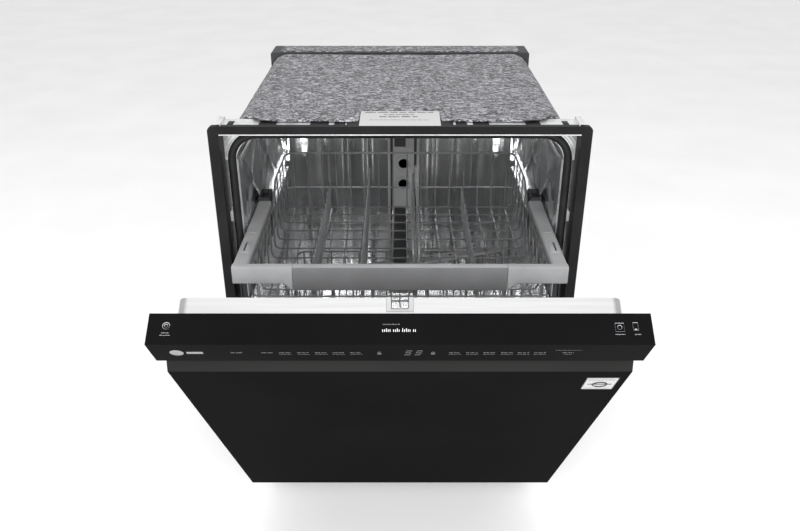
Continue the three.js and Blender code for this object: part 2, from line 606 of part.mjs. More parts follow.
// ---------------------------------------------------------------- racks
// A flat panel of crossing square wires between two corners. plane is the axis it is thin along.
function lattice(plane, low, high, cellsA, cellsB) {
  const [a, b] = [(plane + 1) % 3, (plane + 2) % 3];
  const [countA, countB] = plane === 1 ? [cellsB, cellsA] : [cellsA, cellsB];
  const edges = (k, cells) => Array.from({ length: 2 * cells + 2 }, (_, i) =>
    low[k] + (high[k] - low[k] - wire) * Math.floor(i / 2) / cells + (i % 2) * wire);
  const u = edges(a, countA);
  const v = edges(b, countB);
  const filled = (i, j) => i >= 0 && j >= 0 && i <= 2 * countA && j <= 2 * countB && !(i % 2 && j % 2);
  const at = (i, j, end) => {
    const p = [0, 0, 0];
    p[a] = u[i];
    p[b] = v[j];
    p[plane] = end[plane];
    return p;
  };
  const position = [];
  const quad = (p, q, r, s) => position.push(...p, ...q, ...r, ...p, ...r, ...s);
  // The wall between two corners of the grid, from its low face to its high face.
  const wall = (i, j, k, l) => quad(at(i, j, low), at(k, l, low), at(k, l, high), at(i, j, high));
  for (let i = 0; i < u.length - 1; i++) {
    for (let j = 0; j < v.length - 1; j++) {
      if (!filled(i, j)) continue;
      quad(at(i, j, high), at(i + 1, j, high), at(i + 1, j + 1, high), at(i, j + 1, high));
      quad(at(i, j, low), at(i, j + 1, low), at(i + 1, j + 1, low), at(i + 1, j, low));
      if (!filled(i - 1, j)) wall(i, j + 1, i, j);
      if (!filled(i + 1, j)) wall(i + 1, j, i + 1, j + 1);
      if (!filled(i, j - 1)) wall(i, j, i + 1, j);
      if (!filled(i, j + 1)) wall(i + 1, j + 1, i, j + 1);
    }
  }
  return new THREE.BufferGeometry().setAttribute('position', new THREE.Float32BufferAttribute(position, 3));
}

function rackFloor({ front, back, half, floor, cells }) {
  const inset = wire + GAP;
  return lattice(2, [-half + inset, front + inset, floor], [half - inset, back - inset, floor + wire], cells, cells);
}
const rackFront = ({ front, half, floor, cells }, top) =>
  lattice(1, [-half + wire + GAP, front, floor], [half - wire - GAP, front + wire, top], cells, 1);
const rackBack = ({ back, half, floor, backRim, cells }) =>
  lattice(1, [-half + wire + GAP, back - wire, floor], [half - wire - GAP, back, backRim], cells, 2);

const upperRackSide = ({ front, back, half, floor, frontRim, cells }) =>
  lattice(0, [half - wire, front, floor], [half, back, frontRim], cells, 2);

function lowerRackSide() {
  const { front, back, half, floor, sideRim, cells } = lower;
  const panel = lattice(0, [half - wire, front, floor], [half, back, sideRim], cells, 2);
  const axleZ = tub.ledge + PLAY + wheel.radius;
  const ends = [front + wheel.front, back - wheel.back].flatMap((y) => [
    block([half - wire + hanger.skin, y - hanger.half, axleZ - hanger.below],
      [half - hanger.skin, y + hanger.half, floor + hanger.up]),
    rod(wheel.axle, [half - wire / 2, y, axleZ],
      [half + wheel.air + wheel.width + hanger.axleOver, y, axleZ], 12),
  ]);
  return join(panel, ...ends);
}

function rackWheel(side, end) {
  const y = end === 'front' ? lower.front + wheel.front : lower.back - wheel.back;
  const z = tub.ledge + PLAY + wheel.radius;
  const x0 = lower.half + wheel.air - hanger.axleOver;
  const disc = rod(wheel.radius, [x0, y, z], [x0 + wheel.width, y, z], 24);
  const bore = rod(wheel.axle + PLAY, [x0 - PAST, y, z], [x0 + wheel.width + PAST, y, z], 12);
  return onSide(side, cut(disc, bore));
}

// Front bar with its grip, and the two arms that cover the tops of the side walls.
function upperRackHandle() {
  const y0 = upper.front - grip.depth - GAP;
  const low = grip.top - grip.height;
  const bar = block([-grip.half, y0, low], [grip.half, y0 + grip.depth, grip.top]);
  const high = grip.top - handle.down;
  const toe = low - handle.drop;
  const pull = alongX(outline([[y0 - handle.proud, high], [y0 + handle.toe, toe],
    [y0 + handle.back, toe], [y0 + handle.back, high]]), -handle.half, handle.half);
  const arms = [-1, 1].map((s) => {
    const x = [s * grip.half, s * (grip.half - grip.armWidth)].sort((a, b) => a - b);
    return block([x[0], y0 + grip.armSet, grip.top - grip.armThick], [x[1], grip.armBack, grip.top]);
  });
  return join(bar, pull, ...arms);
}

// Plate beside the basket that runs on the rail, with the lever box at its back end.
function heightAdjuster() {
  const { inner, thick, bottom, front, back, drop, neckUp } = adjuster;
  const top = grip.top - grip.armThick - drop;
  const plate = block([inner, front, bottom], [inner + thick, back, top]);
  const boxFront = grip.armBack + PLAY;
  const boxBack = boxFront + lever.long;
  const neck = block([inner, boxFront + drop, bottom + neckUp], [inner + thick, boxBack, top + drop]);
  const box = block([lever.inner, boxFront, top], [grip.half, boxBack, lever.top]);
  const recess = block([lever.inner + lever.wall, boxFront + lever.wall, lever.top - lever.floor],
    [grip.half - lever.wall, boxBack - lever.wall, lever.top + PAST]);
  return cut(join(plate, neck, box), recess);
}

function outerRail() {
  const x1 = tubHalf - rail.off;
  const x0 = x1 - rail.width;
  const z1 = rail.bottom + rail.height;
  const channel = block([x0, rail.front, rail.bottom], [x1, rail.back, z1]);
  const inside = block([x0 - PAST, rail.front - PAST, rail.bottom + rail.wall],
    [x1 - rail.wall, rail.back + PAST, z1 - rail.wall]);
  return cut(channel, inside);
}

function innerRail() {
  const x1 = tubHalf - rail.off - rail.wall - PLAY;
  const x0 = tubHalf - rail.width;
  const z0 = rail.bottom + rail.wall + PLAY;
  const z1 = rail.bottom + rail.height - rail.wall - PLAY;
  const bar = block([x0, rail.front, z0], [x1, rail.front + rail.innerLength, z1]);
  const inset = rail.groove;
  const groove = block([x0 - PAST, rail.front + inset, z0 + inset],
    [x0 + inset / 2, rail.front + rail.innerLength - inset, z1 - inset]);
  return cut(bar, groove);
}

// A row of upright tines on an axle wire that runs front to back.
function tineRow(x, floorTop, front) {
  const z = floorTop + tines.clear;
  const last = front + tines.step * (tines.count - 1);
  const over = tines.axleOver;
  const axle = block([x - wire / 2, front - over, z - wire / 2], [x + wire / 2, last + over, z + wire / 2]);
  const uprights = Array.from({ length: tines.count }, (_, i) => {
    const y = front + tines.step * i;
    return block([x - wire / 2, y - wire / 2, z], [x + wire / 2, y + wire / 2, z + tines.height]);
  });
  return join(axle, ...uprights);
}

// A wire frame that glasses lean on, hinged along the rack floor.
function glassRest() {
  const z = upper.floor + wire + tines.clear;
  const y0 = (upper.front + upper.back - rest.length) / 2;
  return lattice(0, [rest.x - wire / 2, y0, z - wire / 2],
    [rest.x + wire / 2, y0 + rest.length, z + rest.height], rest.posts, 1);
}

const armY = (upper.front + upper.back) / 2 + feed.behind;
const tubeTop = upper.floor - GAP;
const bossLow = tubeTop - feed.height - feed.boss;
const upperArmTop = bossLow - PLAY;
function upperFeedTube() {
  const { halfWidth: half, height, front, short } = feed;
  const tube = block([-half, armY - front, tubeTop - height], [half, upper.back - short, tubeTop]);
  const boss = rod(half, [0, armY, bossLow], [0, armY, tubeTop - height / 2], 16);
  return join(tube, boss);
}

function upperSprayArm() {
  const z = upperArmTop - arm.thick - arm.upperDown;
  const blades = [0, 1].map((half) =>
    blade(arm.upperReach, z).rotateZ(arm.upperAngle + half * Math.PI).translate(0, armY, 0));
  const hub = rod(arm.upperHub, [0, armY, z - arm.upperHubUnder], [0, armY, upperArmTop], 20);
  return join(...blades, hub);
}

// Open basket with a row of cells and a handle over the middle.
function cutleryBasket() {
  const x1 = lower.half - wire - cutlery.fromSide;
  const x0 = x1 - cutlery.width;
  const y0 = lower.front + cutlery.fromFront;
  const y1 = y0 + cutlery.long;
  const z0 = lower.floor + wire + GAP;
  const z1 = z0 + cutlery.height;
  const t = cutlery.wall;
  const body = block([x0, y0, z0], [x1, y1, z1]);
  const count = cutlery.cells;
  const cell = (cutlery.long - (count + 1) * t) / count;
  const cells = Array.from({ length: count }, (_, i) => {
    const from = y0 + t + i * (cell + t);
    return block([x0 + t, from, z0 + t], [x1 - t, from + cell, z1 + PAST]);
  });
  const middle = (y0 + y1) / 2;
  const h = hoop.width / 2;
  const hump = block([x0, middle - h, z1 - hoop.down], [x1, middle + h, z1 + hoop.rise]);
  const under = block([x0 + t, middle - h - PAST, z1 - hoop.down - PAST],
    [x1 - t, middle + h + PAST, z1 + hoop.rise - hoop.thick]);
  const bow = cut(hump, under);
  return join(cut(body, ...cells), bow);
}

// ---------------------------------------------------------------- assembly
add(machine, 'tub_shell', 'stainless', tubShell());
add(machine, 'tub_rear_wall', 'stainless', tubRearWall());
add(machine, 'tub_floor', 'stainless', tubFloor());
add(machine, 'tub_seal', 'rubber', tubSeal());
add(machine, 'insulation_blanket', 'felt', insulationBlanket());
add(machine, 'front_frame', 'galvanised', frontFrame());
add(machine, 'front_trim', 'blackPlastic', frontTrim());
add(machine, 'rear_frame', 'darkPlastic', rearFrame());
add(machine, 'base_pan', 'blackPlastic', basePan());
add(machine, 'sump', 'darkPlastic', sumpBowl());
add(machine, 'wash_pump', 'greyPlastic', washPump());
add(machine, 'water_guide', 'greyPlastic', waterGuide());
add(machine, 'filter_screen', 'stainless', filterScreen());
add(machine, 'fine_filter', 'greyPlastic', fineFilter());
add(machine, 'lower_spray_arm', 'greyPlastic', lowerSprayArm());
add(machine, 'door_striker', 'blackPlastic', doorStriker());
for (const [name, place] of Object.entries(legPlaces)) {
  add(machine, `${name}_leg`, 'darkPlastic', levellingLeg(place));
}

add(doorGroup, 'door_panel', 'blackSteel', doorPanel());
add(doorGroup, 'control_panel', 'blackGloss', controlPanel());
add(doorGroup, 'pocket_handle', 'blackPlastic', pocketHandle());
add(doorGroup, 'door_liner', 'stainless', doorLiner());
add(doorGroup, 'latch_housing', 'whitePlastic', latchHousing());
add(doorGroup, 'latch_hook', 'steel', latchHook());
add(doorGroup, 'dispenser_body', 'greyPlastic', dispenserBody());
add(doorGroup, 'dispenser_lid', 'greyPlastic', dispenserLid());
add(doorGroup, 'rinse_aid_cap', 'greyPlastic', rinseAidCap());

add(upperGroup, 'upper_rack_floor', 'wireCoat', rackFloor(upper));
add(upperGroup, 'upper_rack_front', 'wireCoat',
  rackFront(upper, grip.top - grip.height - handle.drop - handle.toe));
add(upperGroup, 'upper_rack_back', 'wireCoat', rackBack(upper));
add(upperGroup, 'upper_rack_handle', 'greyPlastic', upperRackHandle());
add(upperGroup, 'upper_rack_tines', 'wireCoat',
  tineRow(tines.upperX, upper.floor + wire, upper.front + tines.fromFront));
add(upperGroup, 'glass_rest', 'wireCoat', glassRest());
add(upperGroup, 'upper_feed_tube', 'darkPlastic', upperFeedTube());
add(upperGroup, 'upper_spray_arm', 'greyPlastic', upperSprayArm());

add(lowerGroup, 'lower_rack_floor', 'wireCoat', rackFloor(lower));
add(lowerGroup, 'lower_rack_front', 'wireCoat', rackFront(lower, lower.frontRim));
add(lowerGroup, 'lower_rack_back', 'wireCoat', rackBack(lower));
add(lowerGroup, 'lower_rack_tines', 'wireCoat',
  tineRow(tines.lowerX, lower.floor + wire, lower.front + tines.fromFront));
add(lowerGroup, 'cutlery_basket', 'greyPlastic', cutleryBasket());

for (const [name, side] of Object.entries(sides)) {
  add(machine, `${name}_hinge_bracket`, 'steel', onSide(side, hingeBracket()));
  add(doorGroup, `${name}_hinge_arm`, 'steel', onSide(side, hingeArm()));
  add(machine, `${name}_outer_rail`, 'stainless', onSide(side, outerRail()));
  add(upperGroup, `${name}_inner_rail`, 'stainless', onSide(side, innerRail()));
  add(upperGroup, `${name}_height_adjuster`, 'darkPlastic', onSide(side, heightAdjuster()));
  add(upperGroup, `upper_rack_${name}_side`, 'wireCoat', onSide(side, upperRackSide(upper)));
  add(lowerGroup, `lower_rack_${name}_side`, 'wireCoat', onSide(side, lowerRackSide()));
  for (const end of ['front', 'back']) {
    add(lowerGroup, `lower_rack_${end}_${name}_wheel`, 'greyPlastic', rackWheel(side, end));
  }
}

// The rack rides half on its rails and half in them, so the rails come out by a share of its travel.
const RAIL_SHARE = 0.36;
upperGroup.position.y = -UPPER_RACK_OUT;
for (const name of Object.keys(sides)) {
  upperGroup.getObjectByName(`${name}_inner_rail`).position.y = UPPER_RACK_OUT * (1 - RAIL_SHARE);
}
lowerGroup.position.y = -LOWER_RACK_OUT;

// The door turns about the hinge pins.
const hingeAt = new THREE.Vector3(0, hinge.y, hinge.z);
doorGroup.rotation.x = THREE.MathUtils.degToRad(DOOR_OPEN_DEG);
doorGroup.position.copy(hingeAt).sub(hingeAt.clone().applyEuler(doorGroup.rotation));

// The origin is on the floor, under the middle of the machine as it stands with its door open.
machine.updateMatrixWorld(true);
const extent = new THREE.Box3().setFromObject(machine, true);
machine.position.y = -(extent.min.y + extent.max.y) / 2;

export default machine;
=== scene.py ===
"""Built-in dishwasher, door part open and upper rack drawn out: its looks, round the CAD nodes.

Sizes inside the functions are in millimetres in the machine's own frame: x to its right, y to its back from
the trim's front face, z up from the floor. Pieces on the door are drawn with it shut, and turned with it.
"""
import json
import math
import random

import bmesh
import bpy
from mathutils import Matrix, Vector, noise


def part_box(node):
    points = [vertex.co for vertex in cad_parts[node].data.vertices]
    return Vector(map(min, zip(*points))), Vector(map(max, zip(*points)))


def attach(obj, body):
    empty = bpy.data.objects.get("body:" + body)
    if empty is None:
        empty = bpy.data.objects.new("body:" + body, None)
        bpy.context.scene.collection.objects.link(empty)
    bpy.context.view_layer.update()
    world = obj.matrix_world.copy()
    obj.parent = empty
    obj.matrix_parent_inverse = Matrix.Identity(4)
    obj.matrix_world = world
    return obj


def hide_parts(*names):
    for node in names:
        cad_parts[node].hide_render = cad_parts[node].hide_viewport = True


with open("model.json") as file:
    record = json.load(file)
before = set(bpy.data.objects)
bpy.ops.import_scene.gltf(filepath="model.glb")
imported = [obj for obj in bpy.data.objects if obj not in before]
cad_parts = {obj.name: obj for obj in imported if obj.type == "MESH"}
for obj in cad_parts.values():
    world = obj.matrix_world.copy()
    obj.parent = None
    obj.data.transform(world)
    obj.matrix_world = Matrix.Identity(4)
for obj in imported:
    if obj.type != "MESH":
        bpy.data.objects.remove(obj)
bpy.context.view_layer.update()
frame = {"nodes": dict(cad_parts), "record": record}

MM = 0.001
JOINTS = {j["name"]: j for j in frame["record"]["behaviour"]["joints"]}
TRIM_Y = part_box("front_trim")[0][1]
HINGE = Vector(JOINTS["door_hinge"]["pos_m"])
DOOR_OPEN = math.radians(-JOINTS["door_hinge"]["range_deg"][0])
DOOR_TURN = Matrix.Translation(HINGE) @ Matrix.Rotation(DOOR_OPEN, 4, "X") @ Matrix.Translation(-HINGE)


def to_mm(p):
    return Vector((p[0] / MM, (p[1] - TRIM_Y) / MM, p[2] / MM))


def to_row(p):
    return Vector((p[0] * MM, p[1] * MM + TRIM_Y, p[2] * MM))


def at(node):
    """Lowest and highest corner of a CAD node at rest, in millimetres."""
    low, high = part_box(node)
    return to_mm(low), to_mm(high)


def shut(node):
    """Lowest and highest corner of a door node as it is with the door shut, in millimetres."""
    back = DOOR_TURN.inverted()
    points = [to_mm(back @ v.co) for v in frame["nodes"][node].data.vertices]
    low = Vector([min(p[k] for p in points) for k in range(3)])
    high = Vector([max(p[k] for p in points) for k in range(3)])
    return low, high


# -------------------- camera, stage
def make_camera():
    place, pitch, focal_length = (0, -1193.2, 1226.5), 27.29, 35.6
    data = bpy.data.cameras.new("camera")
    data.sensor_width = 36
    data.lens = focal_length
    camera = bpy.data.objects.new("camera", data)
    bpy.context.collection.objects.link(camera)
    camera.location = to_row(place)
    camera.rotation_euler = (math.radians(90 - pitch), 0, 0)
    bpy.context.scene.camera = camera


def area_light(name, place, aim, size, power):
    data = bpy.data.lights.new(name, "AREA")
    data.shape = "RECTANGLE"
    data.size, data.size_y = size
    data.energy = power
    light = bpy.data.objects.new(name, data)
    bpy.context.collection.objects.link(light)
    light.location = place
    light.rotation_euler = (Vector(aim) - Vector(place)).to_track_quat("-Z", "Y").to_euler()


def make_studio():
    """White surroundings, a light overhead and one in front, and a pale floor."""
    sky_strength, floor_reach = 0.88, 8
    world = bpy.data.worlds.new("studio")
    bpy.context.scene.world = world
    world.use_nodes = True
    background = world.node_tree.nodes["Background"]
    background.inputs["Color"].default_value = (1, 1, 1, 1)
    background.inputs["Strength"].default_value = sky_strength
    area_light("overhead", place=(0, 0.1, 3.0), aim=(0, 0, 0), size=(2.6, 2.6), power=25)
    area_light("front", place=(0, -2.0, 1.5), aim=(0, 0.2, 0.55), size=(2.4, 0.9), power=62)
    bpy.context.scene.view_settings.view_transform = "Standard"
    mesh = bpy.data.meshes.new("floor")
    corners = [(x * floor_reach, y * floor_reach, 0) for x, y in ((-1, -1), (1, -1), (1, 1), (-1, 1))]
    mesh.from_pydata(corners, [], [(0, 1, 2, 3)])
    floor = bpy.data.objects.new("floor", mesh)
    bpy.context.collection.objects.link(floor)
    floor.data.materials.append(surface("floor_paper", ((0.86, 0.86, 0.86), (0.9, 0.9, 0.9)), 0.9, patch=3))


# -------------------- materials
def feed(tree, node, values, links=()):
    """Sets a node's inputs from a dict of values, and joins inputs to outputs of other nodes."""
    for name, value in values.items():
        node.inputs[name].default_value = value
    for name, output in dict(links).items():
        tree.links.new(output, node.inputs[name])
    return node.outputs[0]


def add_node(tree, kind, values, links=()):
    """A new node of the tree, fed as above. Gives its first output."""
    return feed(tree, tree.nodes.new(f"ShaderNode{kind}"), values, links)


def blank_material(name):
    material = bpy.data.materials.new(name)
    material.use_nodes = True
    tree = material.node_tree
    place = tree.nodes.new("ShaderNodeTexCoord").outputs["Object"]
    return material, tree, tree.nodes["Principled BSDF"], place


def colour_ramp(tree, share, stops):
    """Colours at their positions from 0 to 1, looked up by share."""
    ramp = tree.nodes.new("ShaderNodeValToRGB")
    feed(tree, ramp, {}, {"Fac": share})
    (first, first_tone), *between, (last, last_tone) = stops
    elements = ramp.color_ramp.elements
    elements[0].position, elements[1].position = first, last
    elements[0].color, elements[1].color = (*first_tone, 1), (*last_tone, 1)
    for position, tone in between:
        elements.new(position).color = (*tone, 1)
    return ramp.outputs["Color"]


def surface(name, tones, rough, metal=0.0, patch=30, stretch=(1, 1, 1), grain=(0, 0), rough_swing=0.0,
            coat=0.0, specular=0.5, worn=None):
    """A procedural material. tones are the two colours that drift into each other, patch is the drift's
    scale, grain is the scale and the height in metres of a fine bump, and worn is a tone for the exposed
    edges."""
    drift_span, worn_span, worn_most, coat_rough = (0.32, 0.68), (0.56, 0.72), 0.55, 0.06
    material, tree, shader, place = blank_material(name)
    feed(tree, shader, {"Metallic": metal, "Roughness": rough, "Coat Weight": coat,
                        "Coat Roughness": coat_rough, "Specular IOR Level": specular})
    mapped = add_node(tree, "Mapping", {"Scale": stretch}, {"Vector": place})
    drift = add_node(tree, "TexNoise", {"Scale": patch, "Detail": 5}, {"Vector": mapped})
    colour = colour_ramp(tree, drift, list(zip(drift_span, tones)))
    if worn:
        edges = tree.nodes.new("ShaderNodeNewGeometry").outputs["Pointiness"]
        sharp = add_node(tree, "MapRange", {"From Min": worn_span[0], "From Max": worn_span[1],
                                            "To Max": worn_most}, {"Value": edges})
        mix = tree.nodes.new("ShaderNodeMix")
        mix.data_type = "RGBA"
        feed(tree, mix, {"B": (*worn, 1)}, {"Factor": sharp, "A": colour})
        colour = mix.outputs["Result"]
    feed(tree, shader, {}, {"Base Color": colour})
    if rough_swing:
        span = {"To Min": rough - rough_swing, "To Max": rough + rough_swing}
        feed(tree, shader, {}, {"Roughness": add_node(tree, "MapRange", span, {"Value": drift})})
    if grain[0]:
        fine = add_node(tree, "TexNoise", {"Scale": grain[0], "Detail": 3}, {"Vector": mapped})
        bump = add_node(tree, "Bump", {"Distance": grain[1], "Strength": 1}, {"Height": fine})
        feed(tree, shader, {}, {"Normal": bump})
    return material


def felt_surface():
    """Needled grey felt: pale and dark fibres lying every way, in clumps."""
    fibre_scale, clump_scale = (190, 620, 420), (70, 150, 120)
    fibre_turns, clump_turn = [math.radians(turn) for turn in (12, 70, 130)], 0.4
    dark, mid, pale = (0.02, 0.02, 0.022), (0.085, 0.085, 0.092), (0.48, 0.48, 0.51)
    darkest, palest, relief = 1.81, 2.22, 0.0012
    material, tree, shader, place = blank_material("grey_felt")
    feed(tree, shader, {"Roughness": 0.95, "Sheen Weight": 0.12, "Sheen Roughness": 0.6,
                        "Specular IOR Level": 0.2})

    def fibres(turn, scale):
        mapped = add_node(tree, "Mapping", {"Rotation": (0, 0, turn), "Scale": scale}, {"Vector": place})
        return add_node(tree, "TexNoise", {"Scale": 1, "Detail": 3, "Distortion": 1.2}, {"Vector": mapped})

    def add(a, b):
        return add_node(tree, "Math", {}, {0: a, 1: b})

    lay = [fibres(turn, fibre_scale) for turn in fibre_turns]
    total = add(add(lay[0], lay[1]), add(lay[2], fibres(clump_turn, clump_scale)))
    share = add_node(tree, "MapRange", {"From Min": darkest, "From Max": palest}, {"Value": total})
    colour = colour_ramp(tree, share, [(0, dark), (0.5, mid), (1, pale)])
    bump = add_node(tree, "Bump", {"Distance": relief}, {"Height": total})
    feed(tree, shader, {}, {"Base Color": colour, "Normal": bump})
    return material


MAT = {
    "stainless": surface("tub_steel", ((0.86, 0.865, 0.87), (0.97, 0.975, 0.98)), 0.2, 1, patch=7,
                         grain=(7, 0.0022), rough_swing=0.08),
    "liner_steel": surface("liner_steel", ((0.46, 0.46, 0.465), (0.52, 0.52, 0.525)), 0.3, 1, patch=200,
                           stretch=(0.03, 1, 1), grain=(900, 0.00001), rough_swing=0.05),
    "galvanised_steel": surface("galvanised", ((0.55, 0.555, 0.56), (0.76, 0.765, 0.77)), 0.42, 0.8, patch=60,
                                grain=(140, 0.00008), rough_swing=0.1),
    "hinge_steel": surface("hinge_steel", ((0.36, 0.36, 0.37), (0.5, 0.5, 0.51)), 0.4, 1, patch=40,
                           grain=(300, 0.00004), rough_swing=0.1, worn=(0.7, 0.7, 0.7)),
    "black_painted_steel": surface("door_black", ((0.0055, 0.0055, 0.0059), (0.0068, 0.0068, 0.0073)), 0.4,
                                   patch=5, grain=(1500, 0.00002), rough_swing=0.02, specular=0.0008),
    "black_gloss": surface("panel_gloss", ((0.0042, 0.0042, 0.0045), (0.0056, 0.0056, 0.006)), 0.16, patch=4,
                           grain=(60, 0.000004), rough_swing=0.015, specular=0.003),
    "black_plastic": surface("black_plastic", ((0.009, 0.009, 0.0095), (0.013, 0.013, 0.014)), 0.45, patch=25,
                             grain=(1800, 0.00003), rough_swing=0.05, specular=0.09),
    "seal_rubber": surface("seal_rubber", ((0.01, 0.01, 0.0105), (0.018, 0.018, 0.019)), 0.6, patch=40,
                           grain=(700, 0.00005), rough_swing=0.08, specular=0.2),
    "dark_plastic": surface("dark_plastic", ((0.02, 0.0205, 0.022), (0.032, 0.033, 0.035)), 0.5, patch=30,
                            grain=(1400, 0.00004), rough_swing=0.06, specular=0.25),
    "motor_metal": surface("motor_metal", ((0.2, 0.2, 0.21), (0.32, 0.32, 0.33)), 0.5, 0.9, patch=50,
                           grain=(500, 0.0001), rough_swing=0.08),
    "grey_plastic": surface("grey_plastic", ((0.235, 0.237, 0.241), (0.285, 0.287, 0.291)), 0.45, patch=18,
                            grain=(1500, 0.00003), rough_swing=0.05, specular=0.3),
    # The grip's front: a darker copy of the bar's grey plastic, as painted shade.
    "grip_painted_shade": surface("grip_painted_shade", ((0.115, 0.116, 0.118), (0.14, 0.141, 0.144)), 0.4, patch=14,
                            grain=(1500, 0.00003), rough_swing=0.04, specular=0.3),
    "white_plastic": surface("white_plastic", ((0.27, 0.27, 0.27), (0.32, 0.32, 0.32)), 0.35, patch=30,
                             grain=(900, 0.00002), rough_swing=0.04),
    "coated_wire": surface("wire_coat", ((0.085, 0.087, 0.09), (0.14, 0.142, 0.145)), 0.3, patch=45,
                           grain=(500, 0.00004), rough_swing=0.06, coat=0.4),
    "pocket_grey": surface("pocket_grey", ((0.014, 0.014, 0.0138), (0.017, 0.017, 0.0166)), 0.4, patch=6,
                           grain=(1500, 0.00002), specular=0.05),
}
for ink, tone, rough in (("label_white", (0.44, 0.44, 0.445), 0.5), ("ink_grey", (0.03, 0.03, 0.03), 0.6),
                         ("ink_pale", (0.5, 0.5, 0.51), 0.4), ("ink_dim", (0.2, 0.2, 0.205), 0.4),
                         ("ink_bright", (0.7, 0.7, 0.7), 0.4)):
    MAT[ink] = surface(ink, (tone, tuple(c * 0.9 for c in tone)), rough, patch=400)
MAT["felt"] = felt_surface()


# -------------------- mesh tools
def clamp(t):
    return min(1, max(0, t))


def ease(t):
    """Rises smoothly from 0 to 1 while t goes from 0 to 1."""
    t = clamp(t)
    return t * t * (3 - 2 * t)


def spread(a, b, count):
    """Evenly spaced values from a to b."""
    return [a + (b - a) * i / (count - 1) for i in range(count)]


def filleted(points, bend, steps=4):
    """The polyline with its corners rounded."""
    points = [Vector(p) for p in points]
    out = [points[0]]
    for a, b, c in zip(points, points[1:], points[2:]):
        u, v = a - b, c - b
        angle = u.angle(v, math.pi)
        if angle > math.pi - 0.02 or bend <= 0:
            out.append(b)
            continue
        reach = min(bend / math.tan(angle / 2), u.length * 0.49, v.length * 0.49)
        p, q = b + u.normalized() * reach, b + v.normalized() * reach
        for i in range(steps + 1):
            t = i / steps
            out.append(p * (1 - t) ** 2 + b * 2 * t * (1 - t) + q * t ** 2)
    out.append(points[-1])
    return out


class Piece:
    """A mesh in the making, in millimetres."""

    def __init__(self, name):
        self.name = name
        self.bm = bmesh.new()
        self.current = 0
        self.materials = []

    def using(self, material):
        """The faces made from here on have this material."""
        if material not in self.materials:
            self.materials.append(material)
        self.current = self.materials.index(material)
        return self

    def ring_faces(self, rings, close_ring=True, close_ends=True):
        """Skins a list of rings of points."""
        rows = [[self.bm.verts.new(p) for p in ring] for ring in rings]
        count = len(rows[0])
        made = []
        for a, b in zip(rows, rows[1:]):
            for i in range(count if close_ring else count - 1):
                j = (i + 1) % count
                made.append(self.bm.faces.new((a[i], a[j], b[j], b[i])))
        if close_ends:
            made.append(self.bm.faces.new(rows[0][::-1]))
            made.append(self.bm.faces.new(rows[-1]))
        for face in made:
            face.material_index = self.current
        return self

    def tube(self, points, radius, sides=8, bend=0.0, flat=1.0):
        """A round bar along a polyline, its corners rounded by bend. flat squeezes or widens its section."""
        path = filleted(points, bend)
        ahead = [(b - a).normalized() for a, b in zip(path, path[1:])]
        ahead = [ahead[0]] + [(a + b).normalized() for a, b in zip(ahead, ahead[1:])] + [ahead[-1]]
        up = ahead[0].orthogonal().normalized()
        turns = [2 * math.pi * k / sides for k in range(sides)]
        round_section = [(math.cos(t) * radius, math.sin(t) * radius * flat) for t in turns]
        rings = []
        for p, forward in zip(path, ahead):
            up = (up - forward * up.dot(forward)).normalized()
            side = forward.cross(up)
            rings.append([p + up * a + side * b for a, b in round_section])
        return self.ring_faces(rings)

    def box(self, low, high, edge=0.0):
        """A box, its edges rounded by edge."""
        low, high = Vector(low), Vector(high)
        made = bmesh.ops.create_cube(self.bm, size=1)["verts"]
        for v in made:
            v.co = Vector([low[k] + (v.co[k] + 0.5) * (high[k] - low[k]) for k in range(3)])
        faces = {f for v in made for f in v.link_faces}
        for face in faces:
            face.material_index = self.current
        if edge:
            edges = list({e for v in made for e in v.link_edges})
            most = min(high[k] - low[k] for k in range(3)) * 0.45
            bmesh.ops.bevel(self.bm, geom=edges, offset=min(edge, most), segments=2, profile=0.5,
                            affect="EDGES", clamp_overlap=True)
        return self

    def turned(self, profile, centre, axis, sides=28):
        """A turned piece: profile is (radius, distance along axis), from end to end."""
        centre, axis = Vector(centre), Vector(axis).normalized()
        u = axis.orthogonal().normalized()
        v = axis.cross(u)
        turns = [2 * math.pi * k / sides for k in range(sides)]
        spokes = [u * math.cos(t) + v * math.sin(t) for t in turns]
        rings = []
        for radius, along in profile:
            radius = max(radius, 0.05)
            rings.append([centre + axis * along + spoke * radius for spoke in spokes])
        return self.ring_faces(rings)

    def sheet(self, front, back):
        """A closed shell between two grids of points."""
        f, b = ([[self.bm.verts.new(p) for p in row] for row in grid] for grid in (front, back))
        rows, columns = len(f), len(f[0])
        made = []
        for i in range(rows - 1):
            for j in range(columns - 1):
                made.append((f[i][j], f[i][j + 1], f[i + 1][j + 1], f[i + 1][j]))
                made.append((b[i][j], b[i + 1][j], b[i + 1][j + 1], b[i][j + 1]))
            made.append((f[i][0], f[i + 1][0], b[i + 1][0], b[i][0]))
            made.append((f[i][-1], b[i][-1], b[i + 1][-1], f[i + 1][-1]))
        for j in range(columns - 1):
            made.append((f[0][j], b[0][j], b[0][j + 1], f[0][j + 1]))
            made.append((f[-1][j], f[-1][j + 1], b[-1][j + 1], b[-1][j]))
        for corners in made:
            self.bm.faces.new(corners).material_index = self.current
        return self

    def done(self, body, slot, replaces=(), on_door=False, crease=35, bevel=0.0):
        """Makes the object, in the row frame, and rides it on its body."""
        bmesh.ops.recalc_face_normals(self.bm, faces=self.bm.faces)
        for v in self.bm.verts:
            v.co = to_row(v.co)
        if on_door:
            self.bm.transform(DOOR_TURN)
        mesh = bpy.data.meshes.new(self.name)
        self.bm.to_mesh(mesh)
        self.bm.free()
        for name in self.materials:
            mesh.materials.append(MAT[name])
        mesh.shade_smooth()
        mesh.set_sharp_from_angle(angle=math.radians(crease))
        piece = bpy.data.objects.new(self.name, mesh)
        bpy.context.collection.objects.link(piece)
        if bevel:
            soften(piece, bevel)
        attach(piece, body)
        if replaces:
            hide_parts(*replaces)
        return piece


